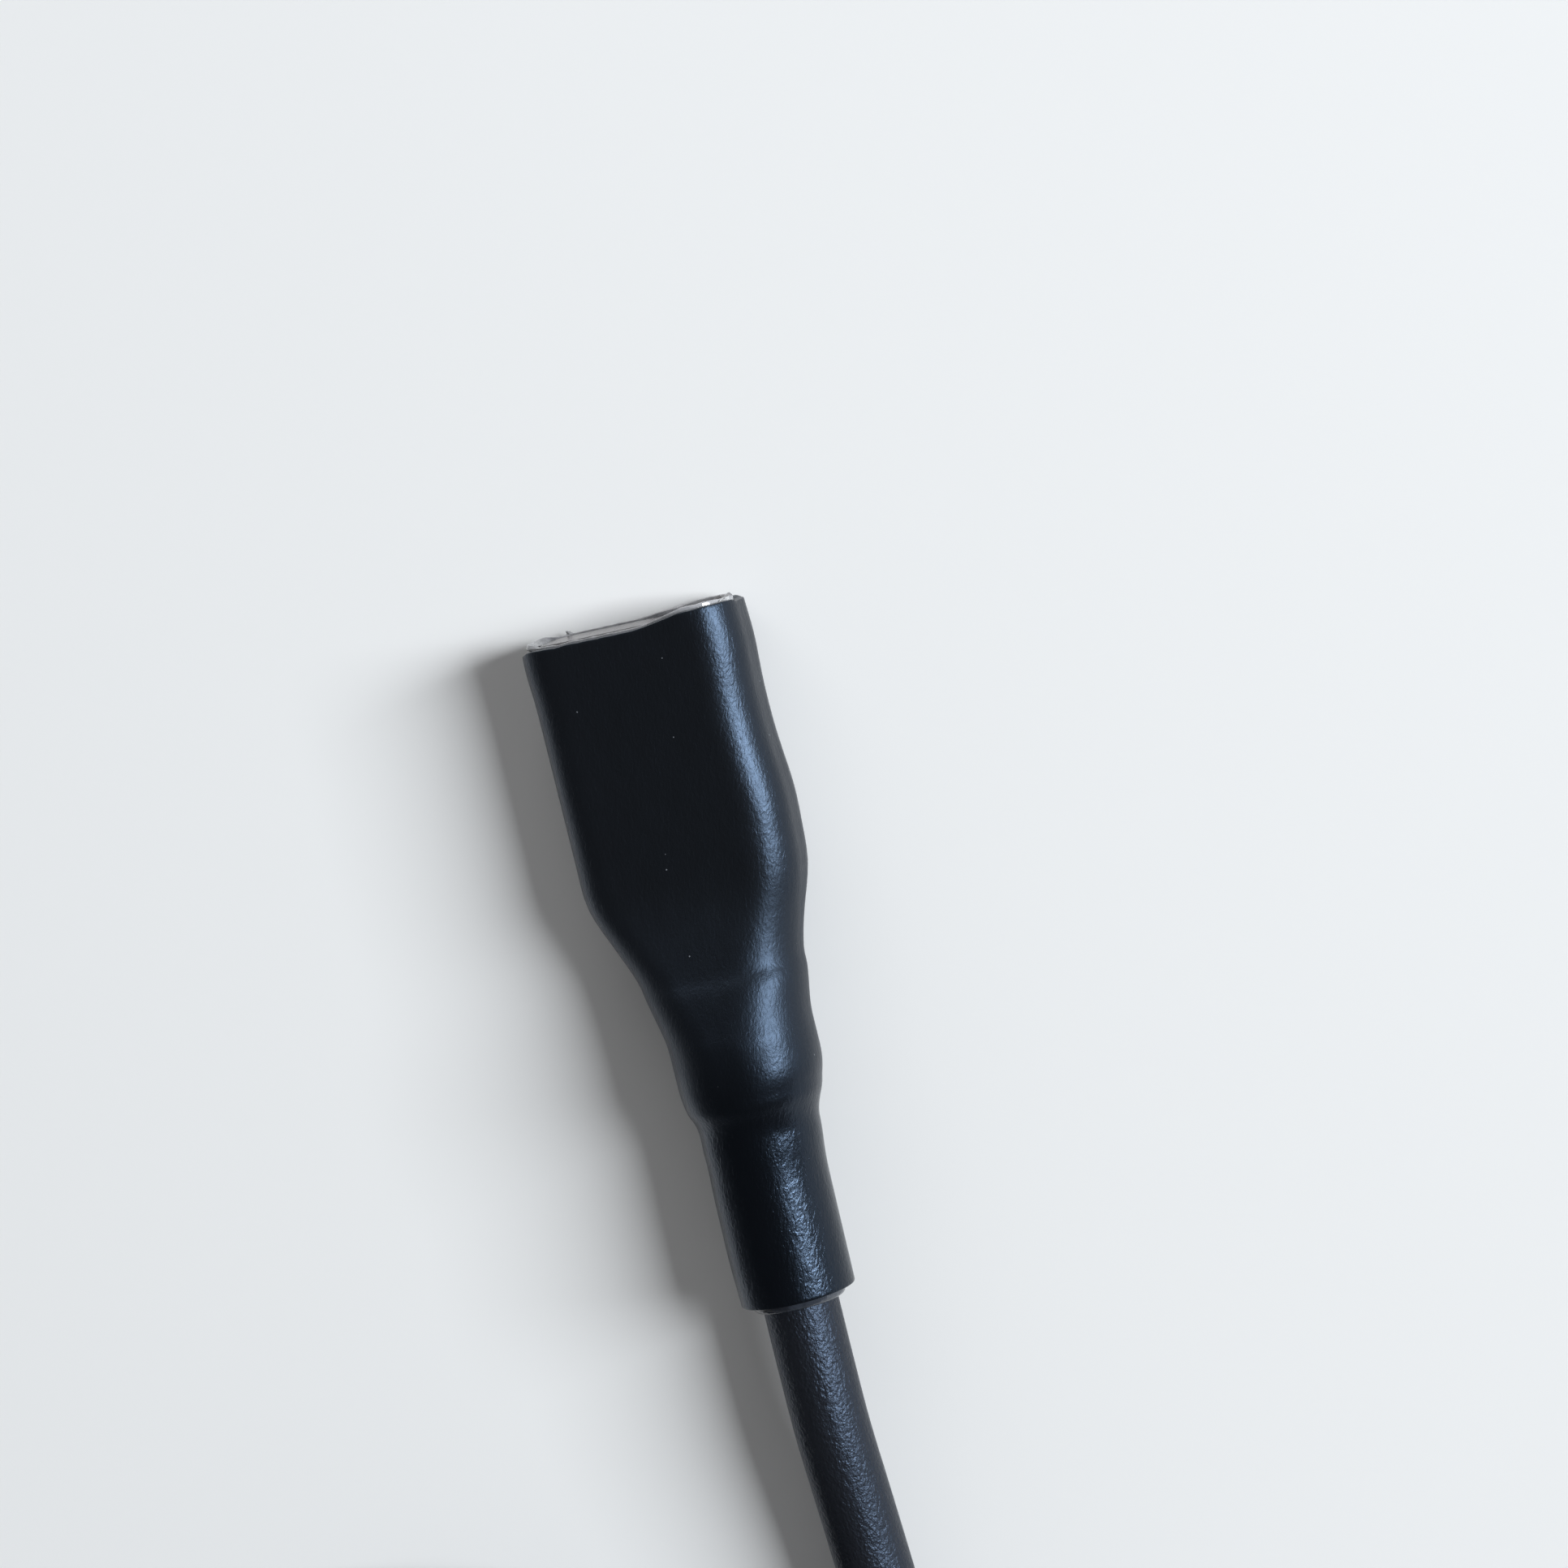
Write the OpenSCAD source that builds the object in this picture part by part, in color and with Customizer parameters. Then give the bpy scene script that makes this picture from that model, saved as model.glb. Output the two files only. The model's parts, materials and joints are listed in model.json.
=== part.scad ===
// Wired shutter release: a flat hand switch in a lined heat-shrink sleeve, on a thick lead with a plug.
// The head lies along Y with its key towards +Y and its flat underside on z = 0. Lengths along the head
// are given as s, measured from the mouth of the sleeve towards the cable.

/* [Sleeve] */
// Length of the black sleeve from mouth to tail
sleeve_len = 60.8; // [58:0.2:66]
// Wall of the black sleeve
sleeve_wall = 0.9; // [0.7:0.05:1.1]
// Wall of the clear adhesive lining
liner_wall = 0.5; // [0.3:0.05:0.7]
// How far the lining stands out of the mouth
rim_proud = 0.3; // [0.1:0.05:0.6]
// How far the squeezed-out adhesive stands out of the tail
bead_len = 0.6; // [0.4:0.05:1]

/* [Block] */
// Width of the flat block
block_w = 20.2; // [19.6:0.1:22]
// Thickness of the flat block
block_t = 9; // [8.6:0.1:10]
// Corner radius of the block's section
block_r = 3.7; // [3.4:0.1:4.2]
// Length of the block's parallel part
block_len = 23.5; // [22.5:0.1:24.5]

/* [Collar and tail] */
// Where the oval collar starts
collar_s = 37; // [36.5:0.1:38]
// Length of the oval collar
collar_len = 4.2; // [4:0.1:6]
// Width of the oval collar
collar_w = 13.1; // [12.9:0.1:14.5]
// Thickness of the oval collar
collar_t = 12.2; // [12:0.1:13.5]
// How far the collar's middle lies to the right of the block's
collar_x = 1.3; // [1.1:0.05:1.5]
// Length of the step from the collar down to the tail
step_len = 4.6; // [4:0.1:6]
// Diameter of the tail next to the collar
tail_d = 10.6; // [10.2:0.1:11.5]
// Diameter of the tail at its end
tail_end_d = 10.3; // [10:0.1:11]

/* [Cable] */
// Diameter of the cable
cable_d = 6.8; // [6.4:0.1:7]
// How far the cable lies to the right of the block's middle
cable_x = 0.6; // [0.4:0.1:0.8]
// Height of the cable's middle where it leaves the head
cable_z = 5.9; // [5.7:0.1:6.1]
// Wall of the cable's jacket
jacket_wall = 1; // [0.8:0.05:1.1]
// Where the jacket starts inside the head
jacket_s = 33.6; // [33:0.1:34.5]
// Diameter of an insulated core
core_d = 1.3; // [1:0.05:1.35]
// Distance between the middles of neighbouring cores
core_pitch = 1.4; // [1.38:0.01:1.45]

/* [Ferrule] */
// Length of the crimped ferrule
ferrule_len = 5; // [4:0.1:5.5]
// Wall of the ferrule
ferrule_wall = 0.5; // [0.4:0.05:0.6]
// How far the ferrule's crimped ear stands out
ferrule_ear = 0.9; // [0.5:0.05:1.1]
// Wall of the short sleeve over the ferrule
inner_wall = 0.4; // [0.3:0.05:0.45]

/* [Key] */
// Travel of the key
key_travel = 1.1; // [0.8:0.05:1.3]
// Thickness of the key's slab
key_t = 2.6; // [2.2:0.1:3]
// How far the key's face lies inside the rim of the lining
key_inset = 0.1; // [0.05:0.05:0.4]
// Side clearance of the key in the lining
key_gap = 0.2; // [0.1:0.05:0.3]
// Width of the key's stem
stem_w = 6; // [5:0.1:6.6]
// Thickness of the key's stem
stem_t = 3; // [2.6:0.1:3.2]
// Thickness of the flange that keeps the key in
flange_t = 0.9; // [0.7:0.05:1.1]
// Where the plunger presses the leaves, to the right of the middle
plunger_x = 3.1; // [2.6:0.1:3.4]

/* [Return springs] */
// Length of a return spring at rest
spring_len = 3.3; // [3.2:0.1:3.8]
// Mean radius of a return spring
spring_r = 1.35; // [1.25:0.05:1.5]
// Wire diameter of a return spring
wire_d = 0.4; // [0.3:0.05:0.45]
// Distance of each return spring's middle from the housing's side wall
spring_inset = 1.7; // [1.6:0.05:2]

/* [Housing] */
// Wall of the switch housing
shell_wall = 0.9; // [0.8:0.05:1]
// Length of the neck behind the housing
neck_len = 5; // [4:0.1:6]
// Wall of the neck
neck_wall = 0.6; // [0.5:0.05:0.7]
// Radius of a housing screw's shank
screw_r = 0.78; // [0.6:0.02:0.9]
// Distance of the housing screws from the right side wall
screw_inset = 2.7; // [2.4:0.1:3]

/* [Contacts] */
// Thickness of a contact leaf
leaf_t = 0.2; // [0.15:0.01:0.25]
// Height of a contact leaf
leaf_h = 3.2; // [3:0.1:3.2]
// Gap between the common and the half-press leaf
half_gap = 0.6; // [0.5:0.05:0.7]
// Gap between the half-press and the release leaf
release_gap = 0.75; // [0.6:0.05:0.85]
// Height of a contact point
point_h = 0.15; // [0.1:0.01:0.2]
// Thickness of the clamping plate
plate_t = 0.6; // [0.5:0.05:0.7]
// Length of the pile's clamped part
pile_w = 2.6; // [2.4:0.1:2.8]
// Room between the pile and the left side wall, for the tabs
pile_inset = 2.7; // [2.6:0.05:3]

/* [Plug] */
// Diameter of the plug's contacts
plug_d = 3.5; // [2.5:0.1:3.5]
// Length of the plug's sleeve contact
plug_sleeve_len = 5.7; // [5:0.1:6.5]
// Diameter of the moulded grip
boot_d = 9.2; // [9.2:0.1:10]
// Length of the moulded grip
grip_len = 14; // [12:0.5:18]
// Length of the ribbed strain relief
relief_len = 10; // [8:0.5:14]

/* [Coil] */
// Radius of the outermost turn, to the middle of the cable
coil_r = 40.5; // [39.5:0.5:44]
// Gap between neighbouring turns
coil_gap = 0.6; // [0.6:0.05:0.9]
// Turns in each layer before and after the climb
layer_turns = 1.25; // [1:0.25:1.5]
// Width of the tie
tie_w = 5; // [3:0.5:6]
// Thickness of the tie
tie_t = 0.4; // [0.3:0.05:0.6]

/* [Hidden] */
$fn = 48;
eps = 0.02;

// Clearances
seat = 0.1;         // housing in the lining, and pieces that are laid in
run = 0.05;         // stops and guides of the key
touch = 0.02;       // round pieces that are pushed together

// Places of the middle plane and of the head along Y
mid_z = block_t / 2;
mouth_y = (sleeve_len + bead_len - rim_proud) / 2;
exit_y = mouth_y - sleeve_len;

// Room inside the lining, and the housing in it
skin = sleeve_wall + liner_wall;
room_w = block_w - 2 * skin;
room_t = block_t - 2 * skin;
room_r = block_r - skin;
shell_w = room_w - 2 * seat;
shell_t = room_t - 2 * seat;
shell_r = room_r - seat;
cavity_w = shell_w - 2 * shell_wall;
cavity_t = shell_t - 2 * shell_wall;
cavity_r = shell_wall;
spring_x = cavity_w / 2 - spring_inset;
screw_x = cavity_w / 2 - screw_inset;

// The key, from its face to the tip of its plunger
key_face_s = key_inset - rim_proud;
key_back_s = key_face_s + key_t;
shell_s = key_back_s + key_travel + run;
bulkhead_s = key_back_s + spring_len;
bulkhead_t = shell_wall;
flange_s = bulkhead_s + bulkhead_t + run;
flange_back_s = flange_s + flange_t;
flange_lip = 1.2;
flange_w = stem_w + 2 * flange_lip;
flange_h = cavity_t - 4 * seat;
plunger_w = 1.4;
plunger_h = 1.8;
peg_r = spring_r - wire_d / 2 - seat;
peg_len = spring_len / 2;
key_lip = 0.3;

// The pile of leaves
plate_s = flange_back_s + key_travel + seat;
common_s = plate_s + plate_t;
half_s = common_s + leaf_t + half_gap;
release_s = half_s + leaf_t + release_gap;
pad_s = release_s + leaf_t;
pile_x = pile_inset - cavity_w / 2;
tab_step = 0.8;
tab_shift = 0.5;
leaf_tip_gap = 0.7;
leaf_tip_x = cavity_w / 2 - leaf_tip_gap;
point_inset = 1.2;
point_x = leaf_tip_x - point_inset;
point_r = 0.6;
pile_screw_x = pile_x + pile_w / 2;
pile_screw_r = 0.5;
pile_head_r = 0.9;
pile_head_t = 0.35;
pile_screw_depth = 1;
pile_slot_w = 0.25;
pile_slot_depth = 0.15;
bush_r = 0.9;

// The contact block and the ribs that hold it
pad_len = 0.75;
block_s = pad_s + pad_len;
block_depth = 1.6;
block_back_s = block_s + block_depth;
block_x1 = cavity_w / 2 - cavity_r;
rib_h = (cavity_t - leaf_h) / 2 - run;
rib_t = 0.45;
tab_proud = 0.8;
tab_end_s = block_back_s + tab_proud;
solder_len = 0.8;
solder_r = 0.45;
tab_h = 0.9;

// The rear of the housing
shell_end_s = block_len;
neck_end_s = shell_end_s + neck_len;
neck_bore_r = core_pitch + core_d / 2 + seat;
neck_r = neck_bore_r + neck_wall;
boss_r = 1.7;
boss_gap = 0.25;
screw_s = [block_back_s + run + rib_t + boss_r + boss_gap, shell_end_s - shell_wall - boss_r - boss_gap];
screw_head_r = 1.4;
screw_head_t = 0.8;
screw_bore_r = screw_r + touch;
slot_w = 0.3;
slot_len = 1.6;
slot_depth = 0.4;

// How far the middle of the bead's section lies outside the cable
bead_shift = 0.15;

// The ferrule over the jacket
ferrule_lead = 1.2;
ferrule_s = collar_s - ferrule_lead;
bore_r = cable_d / 2 - jacket_wall;
ferrule_r = cable_d / 2 + touch + ferrule_wall;
ear_r = 1.6;
ear_x = ferrule_r + ferrule_ear - ear_r;

// The sleeve's sections: [s, x and z of its middle, half width, half thickness, corner radius]
taper_steps = 7;
collar_end_s = collar_s + collar_len;
tail_s = collar_end_s + step_len;
function blend(a, b, t) = a + (b - a) * t;
function ease(t) = t * t * (3 - 2 * t);

// A shrunk skin pulls in quickly behind the block's rear corners and then runs out along the collar
function taper_section(t) =
    let (half_t = blend(block_t, collar_t, t) / 2)
    [blend(block_len, collar_s, t), collar_x * pow(t, 1.3), half_t,
     blend(collar_w, block_w, pow(1 - t, 1.5)) / 2, half_t, blend(block_r, collar_t / 2 - 0.1, t)];
function step_section(t) =
    let (e = ease(t), half = blend(collar_t, tail_d, e) / 2)
    [blend(collar_end_s, tail_s, t), blend(collar_x, cable_x, e), blend(collar_t / 2, cable_z, e),
     blend(collar_w, tail_d, e) / 2, half, half - 0.1 * (1 - e)];
function tail_section(t) =
    let (half = blend(tail_d, tail_end_d, t) / 2)
    [blend(tail_s, sleeve_len, t), cable_x, cable_z, half, half, half];
function block_section(s) = [s, 0, mid_z, block_w / 2, block_t / 2, block_r];

outer_sections = concat(
    [block_section(0), block_section(block_len - 0.6)],
    [for (i = [0:taper_steps]) taper_section(i / taper_steps)],
    [for (i = [0:4]) step_section(i / 4)],
    [tail_section(0.5), tail_section(1)]);

// The same sections drawn in by a wall, and the bore that hugs the cable behind the step
function drawn_in(q, wall) = [q[0], q[1], q[2], q[3] - wall, q[4] - wall, q[5] - wall];
function hug(s) =
    let (r = cable_d / 2 + run)
    [s, cable_x, cable_z, r, r, r];
function inner_section(q) = q[0] > tail_s - step_len / 8 ? hug(q[0]) : drawn_in(q, skin);

corner_steps = 8;
function section_ring(q) =
    [for (c = [0:3], k = [0:corner_steps])
        let (
            a = 90 * c + 90 * k / corner_steps,
            sx = (c == 0 || c == 3) ? 1 : -1,
            sz = c < 2 ? 1 : -1
        )
        [q[1] + sx * max(q[3] - q[5], 0.005) + q[5] * cos(a),
         mouth_y - q[0],
         q[2] + sz * max(q[4] - q[5], 0.005) + q[5] * sin(a)]];

// Triangles between ring i and ring i + 1 of n points each, the first point of the skin being number base
function skin_faces(rings, n, base, flip) =
    [for (i = [0:rings - 2], j = [0:n - 1])
        let (
            a = base + i * n + j, b = base + i * n + (j + 1) % n,
            c = b + n, d = a + n
        )
        each flip ? [[a, c, b], [a, d, c]] : [[a, b, c], [a, c, d]]];
function rim_faces(n, first, second, flip) =
    [for (j = [0:n - 1])
        let (a = first + j, b = first + (j + 1) % n, c = second + (j + 1) % n, d = second + j)
        each flip ? [[a, c, b], [a, d, c]] : [[a, b, c], [a, c, d]]];

// A closed wall between an outer and an inner row of rings
module ring_wall(outer, inner) {
    n = len(outer[0]);
    rows = len(outer);
    base = rows * n;
    points = concat([for (r = outer) each r], [for (r = inner) each r]);
    polyhedron(points, concat(
        skin_faces(rows, n, 0, false),
        skin_faces(rows, n, base, true),
        rim_faces(n, 0, base, true),
        rim_faces(n, (rows - 1) * n, base + (rows - 1) * n, false)));
}

// A round tube swept along points: first and last ring stand square to the path
function unit(v) = v / norm(v);
function path_dir(p, i) = unit(p[min(i + 1, len(p) - 1)] - p[max(i - 1, 0)]);
function path_ring(c, d, r, sides) =
    let (side = unit(cross(d, [0, 0, 1])), up = cross(side, d))
    [for (k = [0:sides - 1])
        let (a = 90 + 360 * k / sides)
        c + r * cos(a) * side + r * sin(a) * up];
module swept_tube(path, r, sides) {
    rows = len(path);
    points = [for (i = [0:rows - 1]) each path_ring(path[i], path_dir(path, i), r, sides)];
    start = [for (k = [1:sides - 2]) [0, k + 1, k]];
    last = (rows - 1) * sides;
    end = [for (k = [1:sides - 2]) [last, last + k, last + k + 1]];
    polyhedron(points, concat(skin_faces(rows, sides, 0, false), start, end));
}

// Flat outlines stand in the X-Z plane and run from s0 to s1 along the head
module run_along(s0, s1) {
    translate([0, mouth_y - s0, 0])
        rotate([90, 0, 0])
            linear_extrude(s1 - s0)
                children();
}
module centred(x, z) {
    translate([x, z])
        children();
}
module oblong(w, t, r) {
    square([w - 2 * r, t], center = true);
    square([w, t - 2 * r], center = true);
    for (sx = [-1, 1], sz = [-1, 1])
        translate([sx * (w / 2 - r), sz * (t / 2 - r)])
            circle(r);
}
module bar(x0, x1, z, h) {
    translate([x0, z - h / 2])
        square([x1 - x0, h]);
}

// Sleeve, lining and bead
middle_sections = [for (q = outer_sections) drawn_in(q, sleeve_wall)];
inner_sections = [for (q = outer_sections) inner_section(q)];
function rings_of(sections) = [for (q = sections) section_ring(q)];
function moved(q, s) = [s, q[1], q[2], q[3], q[4], q[5]];

module outer_sleeve() {
    color([0.06, 0.06, 0.065])
        ring_wall(rings_of(outer_sections), rings_of(middle_sections));
}

module adhesive_liner() {
    lip_outer = concat([moved(middle_sections[0], -rim_proud)], middle_sections);
    lip_inner = concat([moved(inner_sections[0], -rim_proud)], inner_sections);
    color([0.85, 0.85, 0.82, 0.6])
        ring_wall(rings_of(lip_outer), rings_of(lip_inner));
}

module glue_bead() {
    bead_r = cable_d / 2 + bead_shift;
    color([0.9, 0.88, 0.8, 0.7])
        translate([cable_x, exit_y, cable_z])
            rotate([90, 0, 0])
                rotate_extrude()
                    intersection() {
                        translate([bead_r, 0])
                            circle(bead_len);
                        translate([cable_d / 2 + run, 0])
                            square([2 * bead_len, bead_len]);
                    }
}

// Switch housing: both halves come from one hollow body, cut at the middle plane
module hollow_housing() {
    difference() {
        union() {
            run_along(shell_s, shell_end_s)
                centred(0, mid_z)
                    oblong(shell_w, shell_t, shell_r);
            run_along(shell_end_s - eps, neck_end_s)
                centred(0, mid_z)
                    circle(neck_r);
        }
        run_along(shell_s - 1, bulkhead_s)
            centred(0, mid_z)
                oblong(cavity_w, cavity_t, cavity_r);
        run_along(bulkhead_s + bulkhead_t, shell_end_s - shell_wall)
            centred(0, mid_z)
                oblong(cavity_w, cavity_t, cavity_r);
        run_along(bulkhead_s - 1, bulkhead_s + bulkhead_t + 1)
            centred(0, mid_z)
                square([stem_w + 2 * seat, stem_t + 2 * seat], center = true);
        run_along(shell_end_s - shell_wall - 1, neck_end_s + 1)
            centred(0, mid_z)
                circle(neck_bore_r);
    }
}

// The half on the side of dir: 1 for the front (upper) half, -1 for the rear one
module half_space(dir) {
    translate([-block_w, mouth_y - neck_end_s - 1, dir > 0 ? mid_z : mid_z - block_t])
        cube([2 * block_w, neck_end_s + 1, block_t]);
}

// Ribs that hold the contact block from the front and from the back
module block_ribs(dir) {
    rib_z = mid_z + dir * (cavity_t - rib_h) / 2;
    for (s = [block_s - run - rib_t, block_back_s + run])
        run_along(s, s + rib_t)
            bar(pile_x + pile_w + 1, block_x1, rib_z, rib_h + eps);
}

module shell_half(dir) {
    difference() {
        union() {
            intersection() {
                hollow_housing();
                half_space(dir);
            }
            block_ribs(dir);
            for (s = screw_s)
                translate([screw_x, mouth_y - s, mid_z + dir * (cavity_t / 2 + eps) / 2])
                    cylinder(h = cavity_t / 2 + eps, r = boss_r, center = true);
        }
        for (s = screw_s)
            translate([screw_x, mouth_y - s, mid_z - shell_t / 2 + shell_wall])
                cylinder(h = block_t, r = screw_bore_r);
        for (s = screw_s)
            translate([screw_x, mouth_y - s, mid_z + shell_t / 2 - screw_head_t - run])
                cylinder(h = block_t, r = screw_head_r + run);
    }
}

module front_shell() {
    color([0.16, 0.16, 0.17])
        shell_half(1);
}

module rear_shell() {
    color([0.13, 0.13, 0.14])
        shell_half(-1);
}

module housing_screws() {
    top_z = mid_z + shell_t / 2 - run;
    color([0.72, 0.72, 0.74])
        for (s = screw_s)
            translate([screw_x, mouth_y - s, 0])
                difference() {
                    union() {
                        translate([0, 0, top_z - screw_head_t])
                            cylinder(h = screw_head_t, r = screw_head_r);
                        translate([0, 0, mid_z - shell_t / 2 + shell_wall + seat])
                            cylinder(h = shell_t - shell_wall - seat - screw_head_t, r = screw_r);
                    }
                    for (a = [0, 90])
                        rotate(a)
                            translate([0, 0, top_z])
                                cube([slot_len, slot_w, 2 * slot_depth], center = true);
                }
}

// Key: slab in the mouth, stem through the bulkhead, flange behind it and plunger on the leaves
module press_key() {
    slab_w = room_w - 2 * key_gap;
    slab_t = room_t - 2 * key_gap;
    slab_r = room_r - key_gap;
    color([0.78, 0.74, 0.68])
        union() {
            run_along(key_face_s + key_lip, key_back_s)
                centred(0, mid_z)
                    oblong(slab_w, slab_t, slab_r);
            run_along(key_face_s, key_face_s + key_lip + eps)
                centred(0, mid_z)
                    oblong(slab_w - key_lip, slab_t - key_lip, slab_r - key_lip / 2);
            run_along(key_back_s - eps, flange_s + eps)
                bar(-stem_w / 2, stem_w / 2, mid_z, stem_t);
            run_along(flange_s, flange_back_s)
                bar(-flange_w / 2, flange_w / 2, mid_z, flange_h);
            run_along(flange_back_s - eps, common_s - seat)
                bar(plunger_x - plunger_w / 2, plunger_x + plunger_w / 2, mid_z, plunger_h);
            for (sx = [-1, 1])
                run_along(key_back_s - eps, key_back_s + peg_len)
                    centred(sx * spring_x, mid_z)
                        circle(peg_r);
        }
}

module return_springs() {
    turns = 4;
    steps = 12;
    wire_r = wire_d / 2;
    s0 = key_back_s + wire_r + touch;
    rise = spring_len - wire_d - 2 * touch;
    color([0.75, 0.76, 0.78])
        for (sx = [-1, 1])
            swept_spring([for (i = [0:turns * steps])
                let (t = i / (turns * steps), a = 360 * i / steps)
                [sx * spring_x + spring_r * cos(a), mouth_y - s0 - rise * t, mid_z + spring_r * sin(a)]],
                wire_r);
}

// A wire wound round the Y direction: its rings are turned by the way that the wire runs
module swept_spring(path, r) {
    sides = 6;
    rows = len(path);
    points = [for (i = [0:rows - 1])
        let (d = path_dir(path, i), side = unit(cross(d, [0, 1, 0])), up = cross(side, d))
        for (k = [0:sides - 1])
            let (a = 360 * k / sides)
            path[i] + r * cos(a) * side + r * sin(a) * up];
    last = (rows - 1) * sides;
    polyhedron(points, concat(
        skin_faces(rows, sides, 0, false),
        [for (k = [1:sides - 2]) [0, k + 1, k]],
        [for (k = [1:sides - 2]) [last, last + k, last + k + 1]]));
}

// Contact leaf number i, counted from the key: a strip across the housing with a tab that runs back
function tab_x(i) = pile_x - (3 - i) * tab_step + tab_shift;
function tab_z(i) = mid_z + (1 - i) * core_pitch;
module leaf(s, i) {
    difference() {
        union() {
            run_along(s, s + leaf_t)
                bar(tab_x(i), leaf_tip_x, mid_z, leaf_h);
            run_along(s, tab_end_s)
                bar(tab_x(i), tab_x(i) + leaf_t, tab_z(i), tab_h);
        }
        run_along(s - 1, s + 2 * leaf_t)
            centred(pile_screw_x, mid_z)
                circle(bush_r + run);
    }
}

module common_leaf() {
    color([0.8, 0.62, 0.3])
        leaf(common_s, 0);
}

module half_press_leaf() {
    color([0.8, 0.62, 0.3])
        leaf(half_s, 1);
}

module release_leaf() {
    color([0.8, 0.62, 0.3])
        leaf(release_s, 2);
}

module contact_points() {
    faces = [common_s + leaf_t, half_s - point_h, half_s + leaf_t, release_s - point_h];
    color([0.86, 0.86, 0.88])
        for (s = faces)
            run_along(s, s + point_h)
                centred(point_x, mid_z)
                    circle(point_r);
}

module leaf_spacers() {
    color([0.55, 0.32, 0.16])
        for (q = [[common_s + leaf_t, half_s], [half_s + leaf_t, release_s]])
            run_along(q[0], q[1])
                difference() {
                    bar(pile_x, pile_x + pile_w, mid_z, leaf_h);
                    centred(pile_screw_x, mid_z)
                        circle(bush_r + run);
                }
}

module clamp_plate() {
    color([0.7, 0.71, 0.73])
        difference() {
            run_along(plate_s, common_s)
                bar(pile_x, pile_x + pile_w, mid_z, leaf_h);
            run_along(plate_s - 1, common_s + 1)
                centred(pile_screw_x, mid_z)
                    circle(pile_screw_r + touch);
            run_along(plate_s - 1, plate_s + pile_head_t)
                centred(pile_screw_x, mid_z)
                    circle(pile_head_r + run);
        }
}

// Moulded base: a pad that carries the pile, a bush through the leaves, and a bar across the housing
module contact_block() {
    color([0.86, 0.82, 0.7])
        difference() {
            union() {
                run_along(block_s, block_back_s)
                    bar(pile_x, block_x1, mid_z, cavity_t);
                run_along(pad_s, block_s + eps)
                    bar(pile_x, pile_x + pile_w, mid_z, cavity_t);
                run_along(common_s, pad_s + eps)
                    centred(pile_screw_x, mid_z)
                        circle(bush_r);
            }
            run_along(common_s - 1, block_s + pile_screw_depth + 2 * seat)
                centred(pile_screw_x, mid_z)
                    circle(pile_screw_r + touch);
        }
}

module pile_screw() {
    color([0.72, 0.72, 0.74])
        difference() {
            union() {
                run_along(plate_s, plate_s + pile_head_t)
                    centred(pile_screw_x, mid_z)
                        circle(pile_head_r);
                run_along(plate_s + pile_head_t - eps, block_s + pile_screw_depth)
                    centred(pile_screw_x, mid_z)
                        circle(pile_screw_r);
            }
            run_along(plate_s - 1, plate_s + pile_slot_depth)
                bar(pile_screw_x - 1, pile_screw_x + 1, mid_z, pile_slot_w);
        }
}

// Wires
function core_start(i) = [tab_x(i) + leaf_t / 2, tab_end_s + solder_len, tab_z(i)];

module solder_joints() {
    color([0.78, 0.78, 0.8])
        for (i = [0:2])
            run_along(tab_end_s, tab_end_s + solder_len)
                centred(tab_x(i) + leaf_t / 2, tab_z(i))
                    circle(solder_r);
}

// A core runs from its tab to the neck's middle, rises to the cable's and ends with the jacket
core_bend_s = shell_end_s - shell_wall;
core_straight = 0.5;
function core_point(i, s) =
    let (
        p = core_start(i),
        bend_s = p[1] + core_straight,
        across = ease(min(max((s - bend_s) / (core_bend_s - bend_s), 0), 1)),
        lift = ease(min(max((s - neck_end_s) / (jacket_s - neck_end_s), 0), 1))
    )
    [blend(p[0], 0, across) + cable_x * lift, mouth_y - s, p[2] + (cable_z - mid_z) * lift];
module core(i) {
    s0 = core_start(i)[1];
    stops = concat(
        [s0],
        [for (k = [0:12]) blend(s0 + core_straight, core_bend_s, k / 12)],
        [for (k = [0:6]) blend(neck_end_s, jacket_s, k / 6)],
        [sleeve_len]);
    swept_tube([for (s = stops) core_point(i, s)], core_d / 2, 8);
}

module core_common() {
    color([0.12, 0.12, 0.13])
        core(0);
}

module core_focus() {
    color([0.85, 0.84, 0.8])
        core(1);
}

module core_release() {
    color([0.7, 0.1, 0.08])
        core(2);
}

module core_holes(x, z) {
    for (i = [-1:1])
        centred(x, z + i * core_pitch)
            circle(core_d / 2 + touch);
}

module core_grommet() {
    color([0.2, 0.2, 0.2])
        run_along(shell_end_s - shell_wall, neck_end_s - core_straight)
            difference() {
                centred(0, mid_z)
                    circle(neck_bore_r - touch);
                core_holes(0, mid_z);
            }
}

module jacket_end() {
    color([0.05, 0.05, 0.055])
        run_along(jacket_s, sleeve_len)
            centred(cable_x, cable_z)
                difference() {
                    circle(cable_d / 2);
                    circle(bore_r);
                }
}

module filler_yarn() {
    color([0.9, 0.88, 0.8])
        run_along(jacket_s + 1, sleeve_len)
            difference() {
                centred(cable_x, cable_z)
                    circle(bore_r - touch);
                core_holes(cable_x, cable_z);
            }
}

// Round ferrule with one crimped ear, and the short sleeve that is shrunk over it
module eared(r, ear) {
    hull() {
        circle(r, $fn = 48);
        translate([ear_x, 0])
            circle(ear, $fn = 32);
    }
}

module crimp_ferrule() {
    color([0.7, 0.71, 0.73])
        run_along(ferrule_s, ferrule_s + ferrule_len)
            centred(cable_x, cable_z)
                difference() {
                    eared(ferrule_r, ear_r);
                    circle(cable_d / 2 + touch);
                }
}

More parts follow.
